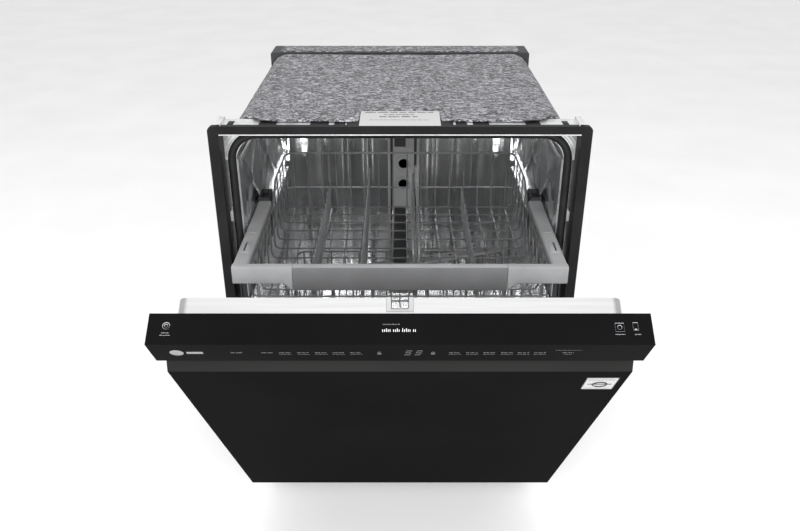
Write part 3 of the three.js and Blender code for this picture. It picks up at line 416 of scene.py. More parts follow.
def soften(piece, width):
    """Rounds an object's sharp edges."""
    bevel = piece.modifiers.new("edges", "BEVEL")
    bevel.width = width * MM
    bevel.segments = 2
    bevel.limit_method = "ANGLE"
    bevel.angle_limit = math.radians(40)
    bevel.harden_normals = True
    bevel.use_clamp_overlap = True


# -------------------- CAD nodes
EDGE = {
    "control_panel": 1.2, "door_panel": 0.8, "door_liner": 0.4, "front_trim": 1.0, "base_pan": 1.2,
    "rear_frame": 1.2, "latch_housing": 0.8, "door_striker": 1.2, "left_height_adjuster": 1.0,
    "right_height_adjuster": 1.0, "water_guide": 2.0, "dispenser_body": 1.2, "wash_pump": 1.0,
    "left_hinge_bracket": 0.4, "right_hinge_bracket": 0.4, "upper_feed_tube": 1.5,
}


def finish_cad_nodes():
    """Gives every CAD node its material. The door panel's slanted top edge has a paler one of its own."""
    slots = {s["node"]: s["material_slot"] for s in frame["record"]["subparts"]}
    own = {"door_liner": "liner_steel", "pocket_handle": "pocket_grey"}
    for name, node in frame["nodes"].items():
        material = MAT[own.get(name, slots[name])]
        if node.material_slots:
            for material_slot in node.material_slots:
                material_slot.material = material
        else:
            node.data.materials.append(material)
        if name == "door_panel":
            node.data.materials.append(MAT["pocket_grey"])
            for face in node.data.polygons:
                if face.normal.z > 0.1 and face.normal.y < -0.5:
                    face.material_index = 1
        if name in EDGE and not node.hide_render:
            soften(node, EDGE[name])


# -------------------- control panel
def strokes(piece, x, y, z, width, height, rng, up, proud=0.12, fill=0.4):
    """Short strokes in groups, centred on x, where a caption would stand: on a front face if up is true, and
    else on a top face. proud is how far they stand out, and fill is a stroke's share of its pitch."""
    group_sizes, tall_shares, pitch_share, group_gap = (3, 4, 5, 6), (0.7, 0.75, 1.0), 0.5, 0.9
    pitch = height * pitch_share
    left, end = x - width / 2, x + width / 2
    while left < end - pitch:
        for _ in range(rng.choice(group_sizes)):
            if left > end - pitch:
                break
            tall = height * rng.choice(tall_shares)
            right = left + pitch * fill
            if up:
                piece.box((left, y - proud, z - height / 2), (right, y + proud, z - height / 2 + tall))
            else:
                piece.box((left, y - height / 2, z - proud), (right, y - height / 2 + tall, z + proud))
            left += pitch
        left += pitch * group_gap


def ring_mark(piece, centre, radius, stroke, up, squash=1.0, corners=24):
    """A drawn ring, or a square with 4 corners. squash is its height over its width."""
    x, y, z = centre
    path = []
    for k in range(corners + 1):
        t = 2 * math.pi * (k + 0.5) / corners
        a, b = math.cos(t) * radius, math.sin(t) * radius * squash
        path.append((x + a, y, z + b) if up else (x + a, y + b, z))
    piece.tube(path, stroke / 2, sides=4, flat=0.3)


def seven_segments(piece, x, y, z, lit, height):
    """One digit of the time display, leaning to its right. lit names its lit segments, a to g."""
    right, top = height * 0.25, height / 2
    radius, lean = height * 0.024, 0.22
    places = {
        "a": ((-right, top), (right, top)), "b": ((right, 0), (right, top)),
        "c": ((right, -top), (right, 0)), "d": ((-right, -top), (right, -top)),
        "f": ((-right, 0), (-right, top)), "g": ((-right, 0), (right, 0)),
    }
    for name in lit:
        piece.tube([(x + u + lean * v, y, z + v) for u, v in places[name]], radius, sides=6, flat=0.35)


def panel_marks():
    rng = random.Random(4)
    low, high = shut("control_panel")
    face, top, middle = low.y, high.z, (low.y + high.y) / 2
    row = top - 27
    power, start, arrows = -197, 204, (-25, 40)
    cycles = (-160, -138.7, -116.5, -95, -74, -52.6)
    options = (67, 87.7, 108.6, 130, 150, 170)
    captions = Piece("panel_captions").using("ink_dim")
    lines = [(x, 1.6, 15, 2.6) for x in (power, *cycles, *options, start)]
    lines += [(x, -4, 15, 1.5) for x in (*cycles[1:], *options)]
    lines += [(start - 1, 9.5, 32, 1.1), (start, -4, 10, 1.1)]
    for x, rise, width, height in lines:
        strokes(captions, x, face, row + rise, width, height, rng, True)
    for x in arrows:
        captions.box((x - 2.4, face - 0.12, row - 3.5), (x + 2.4, face + 0.12, row - 1.8))
        ring_mark(captions, (x, face, row + 1.8), 2.0, 0.7, True)

    digits = Piece("time_display").using("ink_dim")
    for x, lit in ((10, "afgcd"), (22.5, "abcdfg")):
        seven_segments(digits, x, face, row + 1, lit, height=13)

    badge = Piece("panel_badge").using("ink_dim")
    profile = [(0, 0.4), (7.4, 0.4), (8.4, 0), (8.4, -0.2), (0, -0.2)]
    badge.turned(profile, (-270, face - 0.15, row + 1), (0, -1, 0))
    badge.box((-258, face - 0.25, row - 2), (-238, face + 0.1, row + 4), 0.6)

    icons = Piece("panel_top_icons").using("ink_pale")
    spray, home, phone = -279, 262, 281
    for radius, line in ((4.2, 0.9), (2.0, 0.8)):
        ring_mark(icons, (spray, middle + 4, top), radius, line, False)
    strokes(icons, spray, middle - 5, top, 10, 1.0, rng, False)
    strokes(icons, spray, middle - 8, top, 13, 1.0, rng, False)
    ring_mark(icons, (home, middle + 2, top), 7.6, 0.7, False, corners=4)
    ring_mark(icons, (home, middle + 2, top), 2.6, 0.8, False)
    strokes(icons, home, middle - 7, top, 12, 0.9, rng, False)
    ring_mark(icons, (phone, middle + 3, top), 4.2, 0.8, False, squash=1.7, corners=4)
    icons.box((phone - 1.5, middle - 1, top - 0.12), (phone + 1.5, middle, top + 0.12))
    strokes(icons, phone + 2, middle - 7, top, 8, 1.1, rng, False)

    title = Piece("panel_top_caption").using("ink_bright")
    strokes(title, 0, middle - 1.5, top, 42, 4.4, rng, False, fill=0.34)
    title.using("ink_dim")
    strokes(title, -10, middle + 6, top, 21, 1.6, rng, False)
    for piece in (captions, digits, badge, icons, title):
        piece.done("door", "black_gloss", on_door=True)


def door_sticker():
    low, high = shut("door_panel")
    rng = random.Random(8)
    x, z, y = 267, high.z - 58, low.y
    half_width, half_height, line = 21.5, 23, 1
    sticker = Piece("door_sticker").using("label_white")
    sticker.box((x - half_width, y - 0.15, z - half_height), (x + half_width, y + 0.1, z + half_height))
    sticker.using("ink_grey")
    for edge in (-1, 1):
        level = z + edge * (half_height - 0.6)
        sticker.box((x - half_width, y - 0.22, level - line / 2), (x + half_width, y, level + line / 2))
        side = x + edge * (half_width - 0.6)
        sticker.box((side - line / 2, y - 0.22, z - half_height), (side + line / 2, y, z + half_height))
    for rise in (18, 14):
        strokes(sticker, x, y - 0.15, z + rise, 36, 2.2, rng, True, 0.1)
    ring_mark(sticker, (x, y - 0.2, z - 2), 10, 3.2, True, squash=0.9)
    sticker.box((x - 16, y - 0.25, z - 3.5), (x + 16, y, z - 0.5))
    strokes(sticker, x, y - 0.15, z - 18, 34, 2, rng, True, 0.1)
    sticker.done("door", "black_painted_steel", on_door=True)


# -------------------- racks
THICK_WIRE, THIN_WIRE = 2.1, 1.5


def rim_height(y, back, low, high):
    """Height of a basket's side rim: low in front, rising to high towards its back."""
    rise_starts, rise_length = back - 205, 45
    return low + (high - low) * ease((y - rise_starts) / rise_length)


def basket(name, body, nodes, half, front, back, floor, front_rim, side_rim, back_rim, cross, along,
           hangers=()):
    """A wire basket: U-shaped wires both ways, a rim, a belt and a zigzag along each side. cross and along
    count the wires. A hanger is the y, the axle height and the reach of the plate and pin for a wheel."""
    zigzag_points, zigzag_inset = 22, 7
    side = half - THICK_WIRE

    def rim_at(y):
        return rim_height(y, back, side_rim, back_rim)

    wires = Piece(name).using("coated_wire")
    for y in spread(front + 16, back - 14, cross):
        path = [(-side, y, rim_at(y)), (-side, y, floor + 3), (side, y, floor + 3), (side, y, rim_at(y))]
        wires.tube(path, THIN_WIRE, 6, bend=12)
    for x in spread(14 - side, side - 14, along):
        path = [(x, front + 2, front_rim), (x, front + 2, floor), (x, back - 2, floor),
                (x, back - 2, back_rim)]
        wires.tube(path, THIN_WIRE, 6, bend=10)
    bends = (back - 210, back - 180, back - 155)
    half_rim = [(front + 2, side_rim), *((y, rim_at(y)) for y in bends), (back - 2, back_rim)]
    rim = [(-side, y, z) for y, z in half_rim] + [(side, y, z) for y, z in half_rim[::-1]]
    wires.tube(rim, THICK_WIRE, bend=26)
    belt = floor + (side_rim - floor) * 0.5
    loop = [(0, front + 1, belt), (-side, front + 1, belt), (-side, back - 1, belt), (side, back - 1, belt)]
    wires.tube([*loop, (side, front + 1, belt), (0, front + 1, belt)], THIN_WIRE, 6, bend=18)
    for s in (-1, 1):
        zigzag = []
        for i, y in enumerate(spread(front + 20, back - 20, zigzag_points)):
            zigzag.append((s * (side - zigzag_inset), y, belt + 10 if i % 2 else side_rim - 4))
        wires.tube(zigzag, THIN_WIRE, 6, bend=5)
    for y, axle_z, reach in hangers:
        for s in (-1, 1):
            wires.box((s * side - 1.6, y - 9, axle_z - 7), (s * side + 1.6, y + 9, floor + 30), 1)
            wires.tube([(s * side, y, axle_z), (s * (half + reach), y, axle_z)], radius=4, sides=14)
    return wires.done(body, "coated_wire", nodes, crease=50)


def tine_row(name, body, x, axle_z, front, height, replaces=()):
    """A row of tines on an axle that runs to the back. Each leans back and ends in a ball."""
    count, step, lean, past = 14, 29.5, 0.1, 10
    row = Piece(name).using("coated_wire")
    row.tube([(x, front - past, axle_z), (x, front + step * (count - 1) + past, axle_z)], THICK_WIRE)
    for i in range(count):
        y = front + step * i
        top = (x, y + height * lean, axle_z + height)
        row.tube([(x - 3, y, axle_z), (x - 1, y + 1, axle_z + 12), top], THIN_WIRE + 0.1, bend=8)
        row.turned([(0, -1.6), (1.1, -1.2), (1.6, 0), (1.1, 1.2), (0, 1.6)], top, (0, 0, 1), 8)
    return row.done(body, "coated_wire", replaces, crease=50)


def glass_rest():
    """Long wire frame that glasses lean on: two rails on a row of hoops."""
    low, high = at("glass_rest")
    x, foot = (low.x + high.x) / 2, low.z + 2
    rail_shift, hoops, hoop_half = 5, 8, 7
    rest = Piece("glass_rest_wires").using("coated_wire")
    for rail in (x - rail_shift, x + rail_shift):
        rest.tube([(x, low.y + 2, foot), (rail, low.y + 2, high.z - 3), (rail, high.y - 2, high.z - 3),
                   (x, high.y - 2, foot)], THICK_WIRE, bend=16)
    rest.tube([(x, low.y, foot), (x, high.y, foot)], THICK_WIRE)
    for y in spread(low.y, high.y, hoops + 2)[1:-1]:
        near, far = y - hoop_half, y + hoop_half
        path = [(x, near, foot), (x, near, high.z - 8), (x, far, high.z - 8), (x, far, foot)]
        rest.tube(path, THIN_WIRE, 6, bend=7)
    rest.done("upper_glass_rest", "coated_wire", ["glass_rest"], crease=50)


def rack_handle():
    """Front bar of the upper rack with its deeper grip in the middle, and the arm along each side."""
    low, high = at("upper_rack_handle")
    half, top = high.x, high.z
    front, depth, drop, wall = low.y + 4, 12, 10, 3.2
    base = low.z + drop
    grip_half, grip_end = 166, 18
    blend = grip_half + grip_end

    def section(x):
        t = ease((blend - abs(x)) / grip_end)
        foot, lean = base - drop * t, 4 * t
        outline = [(front + depth, top), (front + 3, top), (front + 0.8, top - 0.9), (front, top - 3.2),
                   (front - lean * 0.4, top - 16), (front - lean, foot + 2), (front - lean + 1, foot),
                   (front - lean + wall, foot), (front + wall, top - 16), (front + wall + 0.6, top - 4),
                   (front + depth, top - 4)]
        return [(x, y, z) for y, z in outline]

    def stations(a, b, count):
        return [section(x) for x in spread(a, b, count)]

    bar = Piece("rack_front_bar").using("grey_plastic")
    bar.ring_faces(stations(-half, -blend, 4) + stations(-blend + 1, -grip_half, 9)[:-1])
    bar.ring_faces(stations(grip_half, blend, 9)[1:] + stations(blend + 1, half, 4))
    # Painted shade: the grip is skinned in the darker copy of the bar's plastic. Its top faces then get the
    # bar's own plastic back, so only its front is painted darker.
    bar.using("grip_painted_shade")
    bar.ring_faces(stations(-grip_half - 1.5, grip_half + 1.5, 12))
    bar.bm.normal_update()
    shaded_grip_index = bar.current
    bar.using("grey_plastic")
    for face in bar.bm.faces:
        on_top = abs(face.normal.z) > 0.6 and face.calc_center_median().z > top - 3
        if face.material_index == shaded_grip_index and on_top:
            face.material_index = bar.current

    arm_width, arm_thick, arm_wall, round_over = 24, 12, 3, 2.5
    start = front + depth - 1
    for s in (-1, 1):
        inner, outer = s * (half - arm_width), s * half
        outline = [(outer, top - arm_thick), (outer, top - round_over), (outer - s * round_over, top - 0.2),
                   (inner + s * round_over, top - 0.2), (inner, top - round_over), (inner, top - arm_thick),
                   (inner + s * arm_wall, top - arm_thick), (inner + s * arm_wall, top - 4),
                   (outer - s * arm_wall, top - 4), (outer - s * arm_wall, top - arm_thick)]
        along = (start, front + depth + 6, front + 120, high.y - 8, high.y)
        bar.ring_faces([[(x, y, z) for x, z in outline] for y in along])
        a, b = sorted((s * (half - 5), s * (half - arm_width + 5)))
        for near, far, rise in ((52, 92, 0.6), (128, 133, 0.2)):
            bar.box((a, front + near, top - 1), (b, front + far, top + rise), 0.8)
        bar.using("dark_plastic")
        a, b = sorted((s * (half - 8), s * (half - 12)))
        bar.box((a, front + 56, top - 1), (b, front + 88, top + 0.9), 0.6)
        bar.using("grey_plastic")
        a, b = sorted((s * (half - arm_width + 2.4), s * (half - arm_width + 4.2)))
        bar.box((a, start, top - 58), (b, high.y - 4, top - arm_thick + 2), 0.5)
        for k in range(4):
            near = front + 30 + 58 * k
            bar.box((min(a, a - s), near, top - 50), (max(b, b - s), near + 44, top - 20), 0.6)
    bar.done("upper_rack", "grey_plastic", ["upper_rack_handle"], crease=40)


def racks():
    """Both baskets with their folding and fixed tines, the glass rest, and the upper rack's handle."""
    def nodes(rack):
        return [f"{rack}_{part}" for part in ("floor", "front", "back", "left_side", "right_side")]

    def ends(rack):
        low, high = at(f"{rack}_front")
        return low.y, at(f"{rack}_back")[1].y, at(f"{rack}_floor")[0].z, high.z

    def tines(rack):
        low, high = at(f"{rack}_tines")
        return (low.x + high.x) / 2, low.z + 2, low.y + 12, high.z - low.z - 5

    half = at("upper_rack_right_side")[1].x
    side_rim, back_rim = at("upper_rack_right_side")[1].z, at("upper_rack_back")[1].z
    basket("upper_basket_wires", "upper_rack", nodes("upper_rack"), half, *ends("upper_rack"), side_rim,
           back_rim, cross=12, along=16)
    x, axle, front, height = tines("upper_rack")
    tine_row("upper_tine_wires", "upper_tines", x, axle, front, height, ["upper_rack_tines"])
    tine_row("upper_fixed_tine_wires", "upper_rack", x - 82, axle - 3, front, 62)
    tine_row("upper_right_tine_wires", "upper_rack", 128, axle - 3, front, 50)
    glass_rest()
    rack_handle()

    half = at("lower_rack_back")[1].x + 4.3
    hangers = []
    for end in ("front", "back"):
        low, high = at(f"lower_rack_{end}_right_wheel")
        hangers.append(((low.y + high.y) / 2, (low.z + high.z) / 2, high.x - half + 1))
    basket("lower_basket_wires", "lower_rack", nodes("lower_rack"), half, *ends("lower_rack"), 384,
           at("lower_rack_back")[1].z, cross=12, along=15, hangers=hangers)
    x, axle, front, height = tines("lower_rack")
    tine_row("lower_tine_wires", "lower_tines", x, axle, front, height, ["lower_rack_tines"])
    tine_row("lower_fixed_tine_wires", "lower_rack", x - 92, axle - 3, front, 74)


# -------------------- tub
def pressing(name, place, spans, counts, height, thick=0.9):
    """A thin pressed sheet. place(u, v, h) is a point of it raised by h, and height(u, v) is its relief."""
    along, across = (spread(*span, count + 1) for span, count in zip(spans, counts))

    def grid(offset):
        return [[place(u, v, offset + height(u, v)) for v in across] for u in along]

    return Piece(name).using("stainless").sheet(grid(thick), grid(0)).done("cabinet", "stainless", crease=60)


def to_segment(p, a, b):
    """Distance from a flat point to a segment."""
    ab = (b[0] - a[0], b[1] - a[1])
    t = ((p[0] - a[0]) * ab[0] + (p[1] - a[1]) * ab[1]) / (ab[0] ** 2 + ab[1] ** 2)
    t = clamp(t)
    return math.hypot(p[0] - a[0] - ab[0] * t, p[1] - a[1] - ab[1] * t)


def tub_pressings():
    """The flutes of the tub's back wall, and the folds of its side walls: each panel has folds along three of
    its edges, and slanted ones from its corners towards its middle."""
    wall_back = at("tub_shell")[1].y
    felt_thick, air, tub_wall, stand_off = 9, 0.5, 1.2, 0.2
    inner = at("insulation_blanket")[1].x - felt_thick - air - tub_wall
    plain_half, flute_pitch, flute_depth = 60, 46, 2.6
    panels, levels, gap = ((60, 215), (235, 380), (400, 520)), ((300, 440), (640, 780)), 7
    fold_height, fold_width = 3.2, 5.5

    def back_relief(x, z):
        turn = (abs(x) - plain_half) * 2 * math.pi / flute_pitch
        flutes = 0 if abs(x) < plain_half else flute_depth * (0.5 + 0.5 * math.sin(turn)) ** 2
        return flutes * clamp((z - 300) / 40) * clamp((800 - z) / 30)

    pressing("tub_back_pressing", lambda x, z, h: (x, wall_back - stand_off - h, z),
             ((-262, 262), (262, 780)), (150, 40), back_relief)

    folds = []
    for y0, y1 in panels:
        for z0, z1 in levels:
            ym, zm = (y0 + y1) / 2, (z0 + z1) / 2
            for z, shift in ((z0, -gap), (z1, gap)):
                folds.append(((y0 + gap, z), (y1 - gap, z)))
                folds += [((y, z), (ym, zm + shift)) for y in (y0 + gap, y1 - gap)]
            folds.append(((y0, z0 + gap), (y0, z1 - gap)))
            folds += [((y0, z), (ym - gap, zm)) for z in (z0 + gap, z1 - gap)]
    relief = {}

    def side_relief(y, z):
        key = (round(y, 2), round(z, 2))
        if key not in relief:
            nearest = min(to_segment((y, z), a, b) for a, b in folds)
            relief[key] = fold_height * math.exp(-(nearest / fold_width) ** 2)
        return relief[key]

    for s, name in ((-1, "left"), (1, "right")):
        pressing(f"tub_{name}_pressing", lambda y, z, h, s=s: (s * (inner - stand_off - h), y, z),
                 ((40, wall_back - 4), (262, 786)), (96, 100), side_relief)


def arch_line(half, top, radius, foot, steps):
    """Points of an arch in x and z, from the right foot round to the left foot."""
    points = [(half, foot)]
    for middle, first in ((half - radius, 0), (radius - half, math.pi / 2)):
        for t in spread(first, first + math.pi / 2, steps + 1):
            points.append((middle + radius * math.cos(t), top - radius + radius * math.sin(t)))
    points.append((-half, foot))
    return points


def opening_details():
    """The seal round the opening, the trim's lip, and the beads, bright edges and clips round the flange."""
    low, high = at("tub_seal")
    half, top, foot, front, corner = high.x, high.z, low.z + 2, low.y, 50
    seal = Piece("seal_profile").using("seal_rubber")
    profile = [(0, 7.9), (0, 5.5), (1.5, 4.2), (3.2, 1.6), (5.8, 0.2), (8.4, 0.6), (10.6, 2.6), (12.2, 5.0),
               (13, 6.6), (13, 7.9)]
    rings = []
    for inset, depth in profile:
        line = arch_line(half - inset, top - inset, corner - inset, foot, 10)
        rings.append([(x, front + depth, z) for x, z in line])
    seal.ring_faces(list(zip(*rings)))
    seal.done("cabinet", "seal_rubber", ["tub_seal"], crease=70)

    t_low, t_high = at("front_trim")
    lip_front, lip_back, radius = 1.2, 10.5, 8.1
    lip = Piece("trim_outer_lip").using("black_plastic")
    outside, inside = [arch_line(t_high.x - inset, t_high.z - inset, radius - inset, t_low.z, 6)
                       for inset in (0.1, 1.3)]
    stations = []
    for (xo, zo), (xi, zi) in zip(outside, inside):
        stations.append([(xo, lip_front, zo), (xo, lip_back, zo), (xi, lip_back, zi), (xi, lip_front, zi)])
    lip.ring_faces(stations)
    lip.done("cabinet", "black_plastic")

    flange = at("tub_shell")[0].y
    flange_half, flange_top, steps = 284, 840, 12
    beads = Piece("flange_corner_beads").using("galvanised_steel")
    for s in (-1, 1):
        for radius in (52.5, 57.5, 62.5):
            path = []
            for t in spread(math.radians(6), math.radians(84), steps + 1):
                x, z = half - corner + radius * math.cos(t), top - corner + radius * math.sin(t)
                if x < flange_half and z < flange_top:
                    path.append((s * x, flange - 0.6, z))
            if len(path) > 3:
                beads.tube(path, 0.9, 6)
    beads.done("cabinet", "galvanised_steel")

    strip_low, strip_high = 839.6, 841.2
    near_reach, far_reach, most_x, most_z = 49.5, 54.5, 54, 51.5
    bright = Piece("trim_inner_line").using("galvanised_steel")
    bright.box((-flange_half, -0.5, strip_low), (flange_half, 0.2, strip_high), 0.2)
    for s in (-1, 1):
        stations = []
        for t in spread(0, math.pi / 2, steps + 1):
            c, d = math.cos(t), math.sin(t)
            reach = far_reach / max(c, d)
            near = (s * (half - corner + near_reach * c), top - corner + near_reach * d)
            far = (s * (half - corner + min(reach * c, most_x)), top - corner + min(reach * d, most_z))
            outline = ((near, 0.6), (far, 0.6), (far, 0.15), (near, 0.15))
            stations.append([(x, flange - proud, z) for (x, z), proud in outline])
        bright.ring_faces(stations)
    bright.done("cabinet", "galvanised_steel", crease=30)

    clips = Piece("flange_clips").using("white_plastic")
    for s in (-1, 1):
        a, b = sorted((s * 279.5, s * 284.6))
        clips.box((a, flange - 8, 682), (b, flange - 1, 700), 1.4)
    clips.done("cabinet", "white_plastic")


def frame_details():
    """The dark pads along the front frame, the label over its bracket, and the felt on the rear frame."""
    low, high = at("door_striker")
    pads = Piece("frame_pads").using("black_plastic")
    for x, half in ((-268, 5), (-209, 14), (-127, 15), (-95, 9), (97, 9), (128, 13), (210, 12), (262, 5)):
        pads.box((x - half, 10.8, high.z - 2.2), (x + half, 34, high.z - 0.5), 0.8)
    pads.done("cabinet", "black_plastic")

    rng = random.Random(12)
    label = Piece("top_label").using("label_white")
    front, back = low.y - 5.5, high.y - 4
    thick, rows, columns = 0.25, 12, (-64, -32, 0, 32, 64)

    def paper(share):
        """How far back the paper is at a share of its length, and the height of its underside there."""
        return front + (back - front) * share, high.z + 0.9 + 1.2 * math.sin(math.pi * share)

    line = [paper(share) for share in spread(0, 1, rows + 1)]
    label.sheet(*([[(x, y, z + rise) for x in columns] for y, z in line] for rise in (thick, 0)))
    for share, width, height, ink in ((0.88, 114, 6, "ink_grey"), (0.7, 52, 4, "ink_grey"),
                                      (0.55, 66, 6, "ink_grey"), (0.34, 96, 4, "ink_dim")):
        y, z = paper(share)
        strokes(label.using(ink), 0, y, z + 0.3, width, height, rng, False, 0.12, 0.75)
    label.done("cabinet", "white_plastic")

    low, high = at("rear_frame")
    strip = Piece("rear_frame_strip").using("felt")
    half, waviness, columns, rows = 260, 1.8, 60, 8
    line = []
    for x in spread(-half, half, columns + 1):
        wave = waviness * noise.noise(Vector((x * 0.03, 3.1, 0)))
        y0, y1 = low.y + 7 + wave, high.y - 6 + wave
        line.append([(x, y) for y in spread(y0, y1, rows + 1)])
    upper, lower = [[[(x, y, high.z + lift) for x, y in row] for row in line] for lift in (1.3, 0.1)]
    strip.sheet(upper, lower)
    strip.done("cabinet", "felt")


def felt_blanket():
    """One felt cut: up one side, over the top and down the other, notched round the label's bracket."""
    low, high = at("insulation_blanket")
    thick, corner, play = 9.0, 62.0, 0.6
    half, top, foot = high.x, high.z, low.z
    front, back = low.y, at("rear_frame")[0].y - 1.5
    notch_half, notch_back = 76, 88
    frame_top = at("door_striker")[1].z + 0.6
    overlap, lap_half = 24, 250
    step, columns, edge_round = 8.0, 68, 9
    under = arch_line(half - thick + play, top - thick + play, corner - thick, foot, 24)
    over = arch_line(half + 5.5, top - 0.8, 40, foot, 24)
    edges = list(zip(under, over))
    pairs = []
    for (a, b), (c, d) in zip(edges, edges[1:]):
        length = math.hypot(d[0] - b[0], d[1] - b[1])
        count = max(1, round(length / step))
        for k in range(count):
            t = k / count
            pairs.append(tuple((p[0] + (q[0] - p[0]) * t, p[1] + (q[1] - p[1]) * t)
                               for p, q in ((a, c), (b, d))))
    pairs.append(edges[-1])
    for edge in (-notch_half, notch_half):
        on_top = [i for i, (p, _) in enumerate(pairs) if p[1] > top - 10]
        nearest = min(on_top, key=lambda i: abs(pairs[i][0][0] - edge))
        pairs[nearest] = ((edge, pairs[nearest][0][1]), (edge, pairs[nearest][1][1]))

    def wander(a, b, c):
        return noise.noise(Vector((a, b, c)))

    def lap(x, y):
        """How far the felt is lifted onto the front frame and the label's bracket, from 0 to 1."""
        over_frame = ease((66 - y) / 18) * ease((lap_half + 16 - abs(x)) / 12)
        over_bracket = ease((104 - y) / 12) * ease((98 - abs(x)) / 12)
        return max(over_frame, over_bracket)

    outer, inner = [], []
    for (xi, zi), (xo, zo) in pairs:
        on_top = zo > top - thick
        start = front + 1.5 + 3.5 * (1 + wander(xo * 0.02, zo * 0.02, 0.5))
        if on_top:
            start -= overlap * ease((lap_half - 6 - abs(xo)) / 14) + 2.5 * wander(xo * 0.035, 2.2, 0)
            if abs(xo) < notch_half - 0.5:
                start = notch_back + 1.5 * wander(xo * 0.05, 7, 0)
        end = back - 2.5 * (1 + wander(xo * 0.03, zo * 0.03, 9.5))
        normal = Vector((xo - xi, 0, zo - zi)).normalized()
        outer_row, inner_row = [], []
        for y in spread(start, end, columns + 1):
            wave = 0.5 * wander(xo * 0.012, y * 0.012, zo * 0.012)
            wave += 0.3 * wander(xo * 0.06, y * 0.06, zo * 0.06)
            rim = min(1, min(y - start, end - y) / edge_round)
            p, q = Vector((xo, y, zo)) + normal * (wave - 0.9 - 2.2 * (1 - rim) ** 2), Vector((xi, y, zi))
            if on_top:
                lift = lap(xo, y)
                p.z += lift * (frame_top + 4.2 - top + 0.8) + 2.4 * ease((y - back + 45) / 35)
                q.z += lift * (frame_top - zi)
            outer_row.append(p)
            inner_row.append(q)
        outer.append(outer_row)
        inner.append(inner_row)
    blanket = Piece("felt_blanket").using("felt").sheet(outer, inner)
    piece = blanket.done("cabinet", "felt", ["insulation_blanket"], crease=60)
    length = back - front - 8


# -------------------- water parts
def spray_arm(which, reach, angles, base, hub):
    """A spray arm: tapering blades round a hub, with a row of nozzles on top of each."""
    depth, half_width, stations, sides = 10, 16.5, 12, 14
    centre = to_mm(JOINTS[f"{which}_arm_spin"]["pos_m"])
    middle = Vector((centre.x, centre.y, base + depth / 2))
    turns = [2 * math.pi * k / sides for k in range(sides)]
    blades = [Vector((math.cos(angle), math.sin(angle), 0)) for angle in angles]

    def half_height(share):
        return depth * (0.5 - 0.16 * share)

    def squared(c):
        return math.copysign(abs(c) ** 0.7, c)

    arm = Piece(f"{which}_arm_moulding").using("grey_plastic")
    for along in blades:
        side = Vector((-along.y, along.x, 0))
        rings = []
        for t in spread(0, 1, stations + 1):
            wide = half_width * (1 - 0.62 * t ** 1.6) * (0.6 if t == 1 else 1)
            spine = middle + along * (hub * 0.4 + (reach - hub * 0.4) * t)
            rings.append([spine + side * (squared(math.cos(a)) * wide)
                          + Vector((0, 0, squared(math.sin(a)) * half_height(t))) for a in turns])
        arm.ring_faces(rings)
    profile = [(0, -1), (hub * 0.8, -1), (hub, 2), (hub, depth - 1), (hub * 0.82, depth + 2),
               (hub * 0.5, depth + 3), (0, depth + 3)]
    arm.turned(profile, (centre.x, centre.y, base), (0, 0, 1))
    arm.using("dark_plastic")
    nozzle = [(0, -0.6), (2.6, -0.6), (3.2, 0.1), (1.4, 0.5), (0, 0.3)]
    for along in blades:
        for share in (0.3, 0.48, 0.66, 0.83, 0.94):
            place = middle + along * (reach * share) + Vector((0, 0, half_height(share)))
            arm.turned(nozzle, place, (0, 0, 1), 14)
    arm.done(f"{which}_arm", "grey_plastic", [f"{which}_spray_arm"], crease=50)


def water_parts():
    """Both spray arms, and what stands out from the water guide on the tub's back wall."""
    spray_arm("lower", 205, [0.35 + k * math.pi / 2 for k in range(4)], at("lower_spray_arm")[0].z + 1, 24)
    spray_arm("upper", 212, [0.3, 0.3 + math.pi], at("upper_spray_arm")[1].z - 13, 19)

    x, face = 8, at("water_guide")[1].y - 18
    rail_shift, rail_half, teeth, tooth_pitch, tooth_tall = 27, 3.5, 6, 17, 10
    collar = [(14, -2), (19, -2), (20, 0), (18.5, 2.5), (15, 2.8), (13.6, 1.5), (13.6, -2)]
    socket = [(5.5, 6.4), (12.9, 6.4), (12.9, -0.5), (11.4, -0.5), (11.4, 4.6), (5.5, 4.6), (5.5, 6.4)]
    docks = Piece("docking_collars").using("grey_plastic")
    for z in (552, 602):
        docks.turned(collar, (x, face, z), (0, -1, 0), 32)
        docks.turned(socket, (x, face + 1, z), (0, 1, 0), 28)
    docks.using("dark_plastic")
    for edge in (x - rail_shift, x + rail_shift):
        docks.box((edge - rail_half, face - 0.7, 300), (edge + rail_half, face + 1, 790), 0.6)
        for k in range(teeth):
            z = 690 + k * tooth_pitch
            docks.box((edge - 6, face - 1.2, z), (edge + 6, face + 1, z + tooth_tall), 0.8)
    docks.using("grey_plastic")
    docks.box((x - 15, face - 1.6, 640), (x + 15, face + 1, 786), 1.2)
    docks.done("cabinet", "grey_plastic")


def wheels():
    """The lower rack's four wheels, each grooved and hollow at its hub."""
    hole, hub, groove = 4.6, 8, 1.2
    for end in ("front", "back"):
        for side, s in (("left", -1), ("right", 1)):
            name = f"lower_rack_{end}_{side}_wheel"
            low, high = at(name)
            r, w = (high.z - low.z) / 2, (high.x - low.x) / 2
            edge = [(hole, w), (hub, w), (hub + 0.6, w - groove), (r - 3, w - groove), (r - 1.4, w),
                    (r - 0.4, w - 0.8), (r, w - 2.4), (r - 1.4, 0.6)]
            profile = [(radius, -along) for radius, along in edge] + edge[::-1] + [(hole, -w)]
            wheel = Piece(f"{end}_{side}_roller").using("grey_plastic")
            wheel.turned(profile, (low + high) / 2, (s, 0, 0), 32)
            wheel.done(f"{end}_{side}_wheel", "grey_plastic", [name], crease=40)


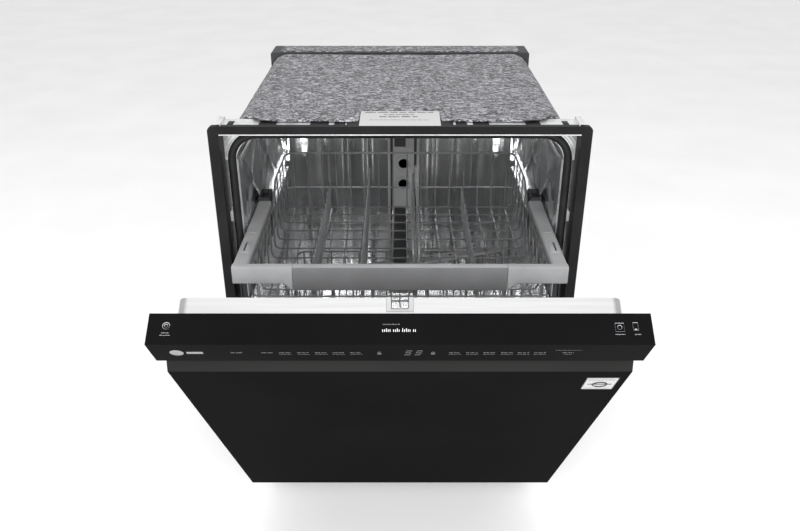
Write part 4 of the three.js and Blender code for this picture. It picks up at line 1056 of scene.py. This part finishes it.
def cutlery():
    """Moulded basket with slotted walls, three cells and a loop handle."""
    low, high = at("cutlery_basket")
    top, middle = high.z - 20, (low.y + high.y) / 2
    wall, bar, cells, rows, pitch = 2.2, 2.4, 3, 7, 11.5
    rim_tall, rim_wide, rim_proud = 5, 3, 0.4
    moulding = Piece("cutlery_basket_moulding").using("grey_plastic")

    def slat(axis, along, across, up):
        """A box from its spans along a wall, across it and up."""
        ends = [[0, 0, z] for z in up]
        for k in range(2):
            ends[k][axis], ends[k][1 - axis] = along[k], across[k]
        moulding.box(*ends)

    def wall_along(axis, fixed, a, b):
        for z in spread(low.z + 2, top - 3, rows + 1):
            slat(axis, (a, b), (fixed, fixed + wall), (z, z + 2.6))
        count = max(2, round((b - a) / pitch))
        for p in spread(a, b - bar, count + 1):
            slat(axis, (p, p + bar), (fixed + 0.15, fixed + wall - 0.15), (low.z + 0.5, top - 0.3))

    for x in (low.x, high.x - wall):
        wall_along(1, x, low.y, high.y)
    for y in spread(low.y, high.y - wall, cells + 1):
        wall_along(0, y, low.x, high.x)
    for x0, x1 in ((low.x - rim_proud, low.x + rim_wide), (high.x - rim_wide, high.x + rim_proud)):
        moulding.box((x0, low.y - rim_proud, top - rim_tall), (x1, high.y + rim_proud, top), 0.8)
    for y0, y1 in ((low.y - rim_proud, low.y + rim_wide), (high.y - rim_wide, high.y + rim_proud)):
        moulding.box((low.x, y0, top - rim_tall), (high.x, y1, top), 0.8)
    for x in spread(low.x + 3, high.x - 6, 9):
        moulding.box((x, low.y + 1, low.z), (x + 3, high.y - 1, low.z + 2.2))
    for y in spread(low.y + 3, high.y - 6, 15):
        moulding.box((low.x + 1, y, low.z + 0.2), (high.x - 1, y + 3, low.z + 2))
    left, right = low.x + 3, high.x - 3
    handle = [(left, middle, top - 10), (left, middle, high.z - 4), (right, middle, high.z - 4),
              (right, middle, top - 10)]
    moulding.tube(handle, 4, 12, 16, flat=1.6)
    moulding.done("cutlery", "grey_plastic", ["cutlery_basket"], crease=40)


make_camera()
make_studio()
panel_marks()
door_sticker()
racks()
tub_pressings()
opening_details()
frame_details()
felt_blanket()
water_parts()
wheels()
cutlery()
finish_cad_nodes()
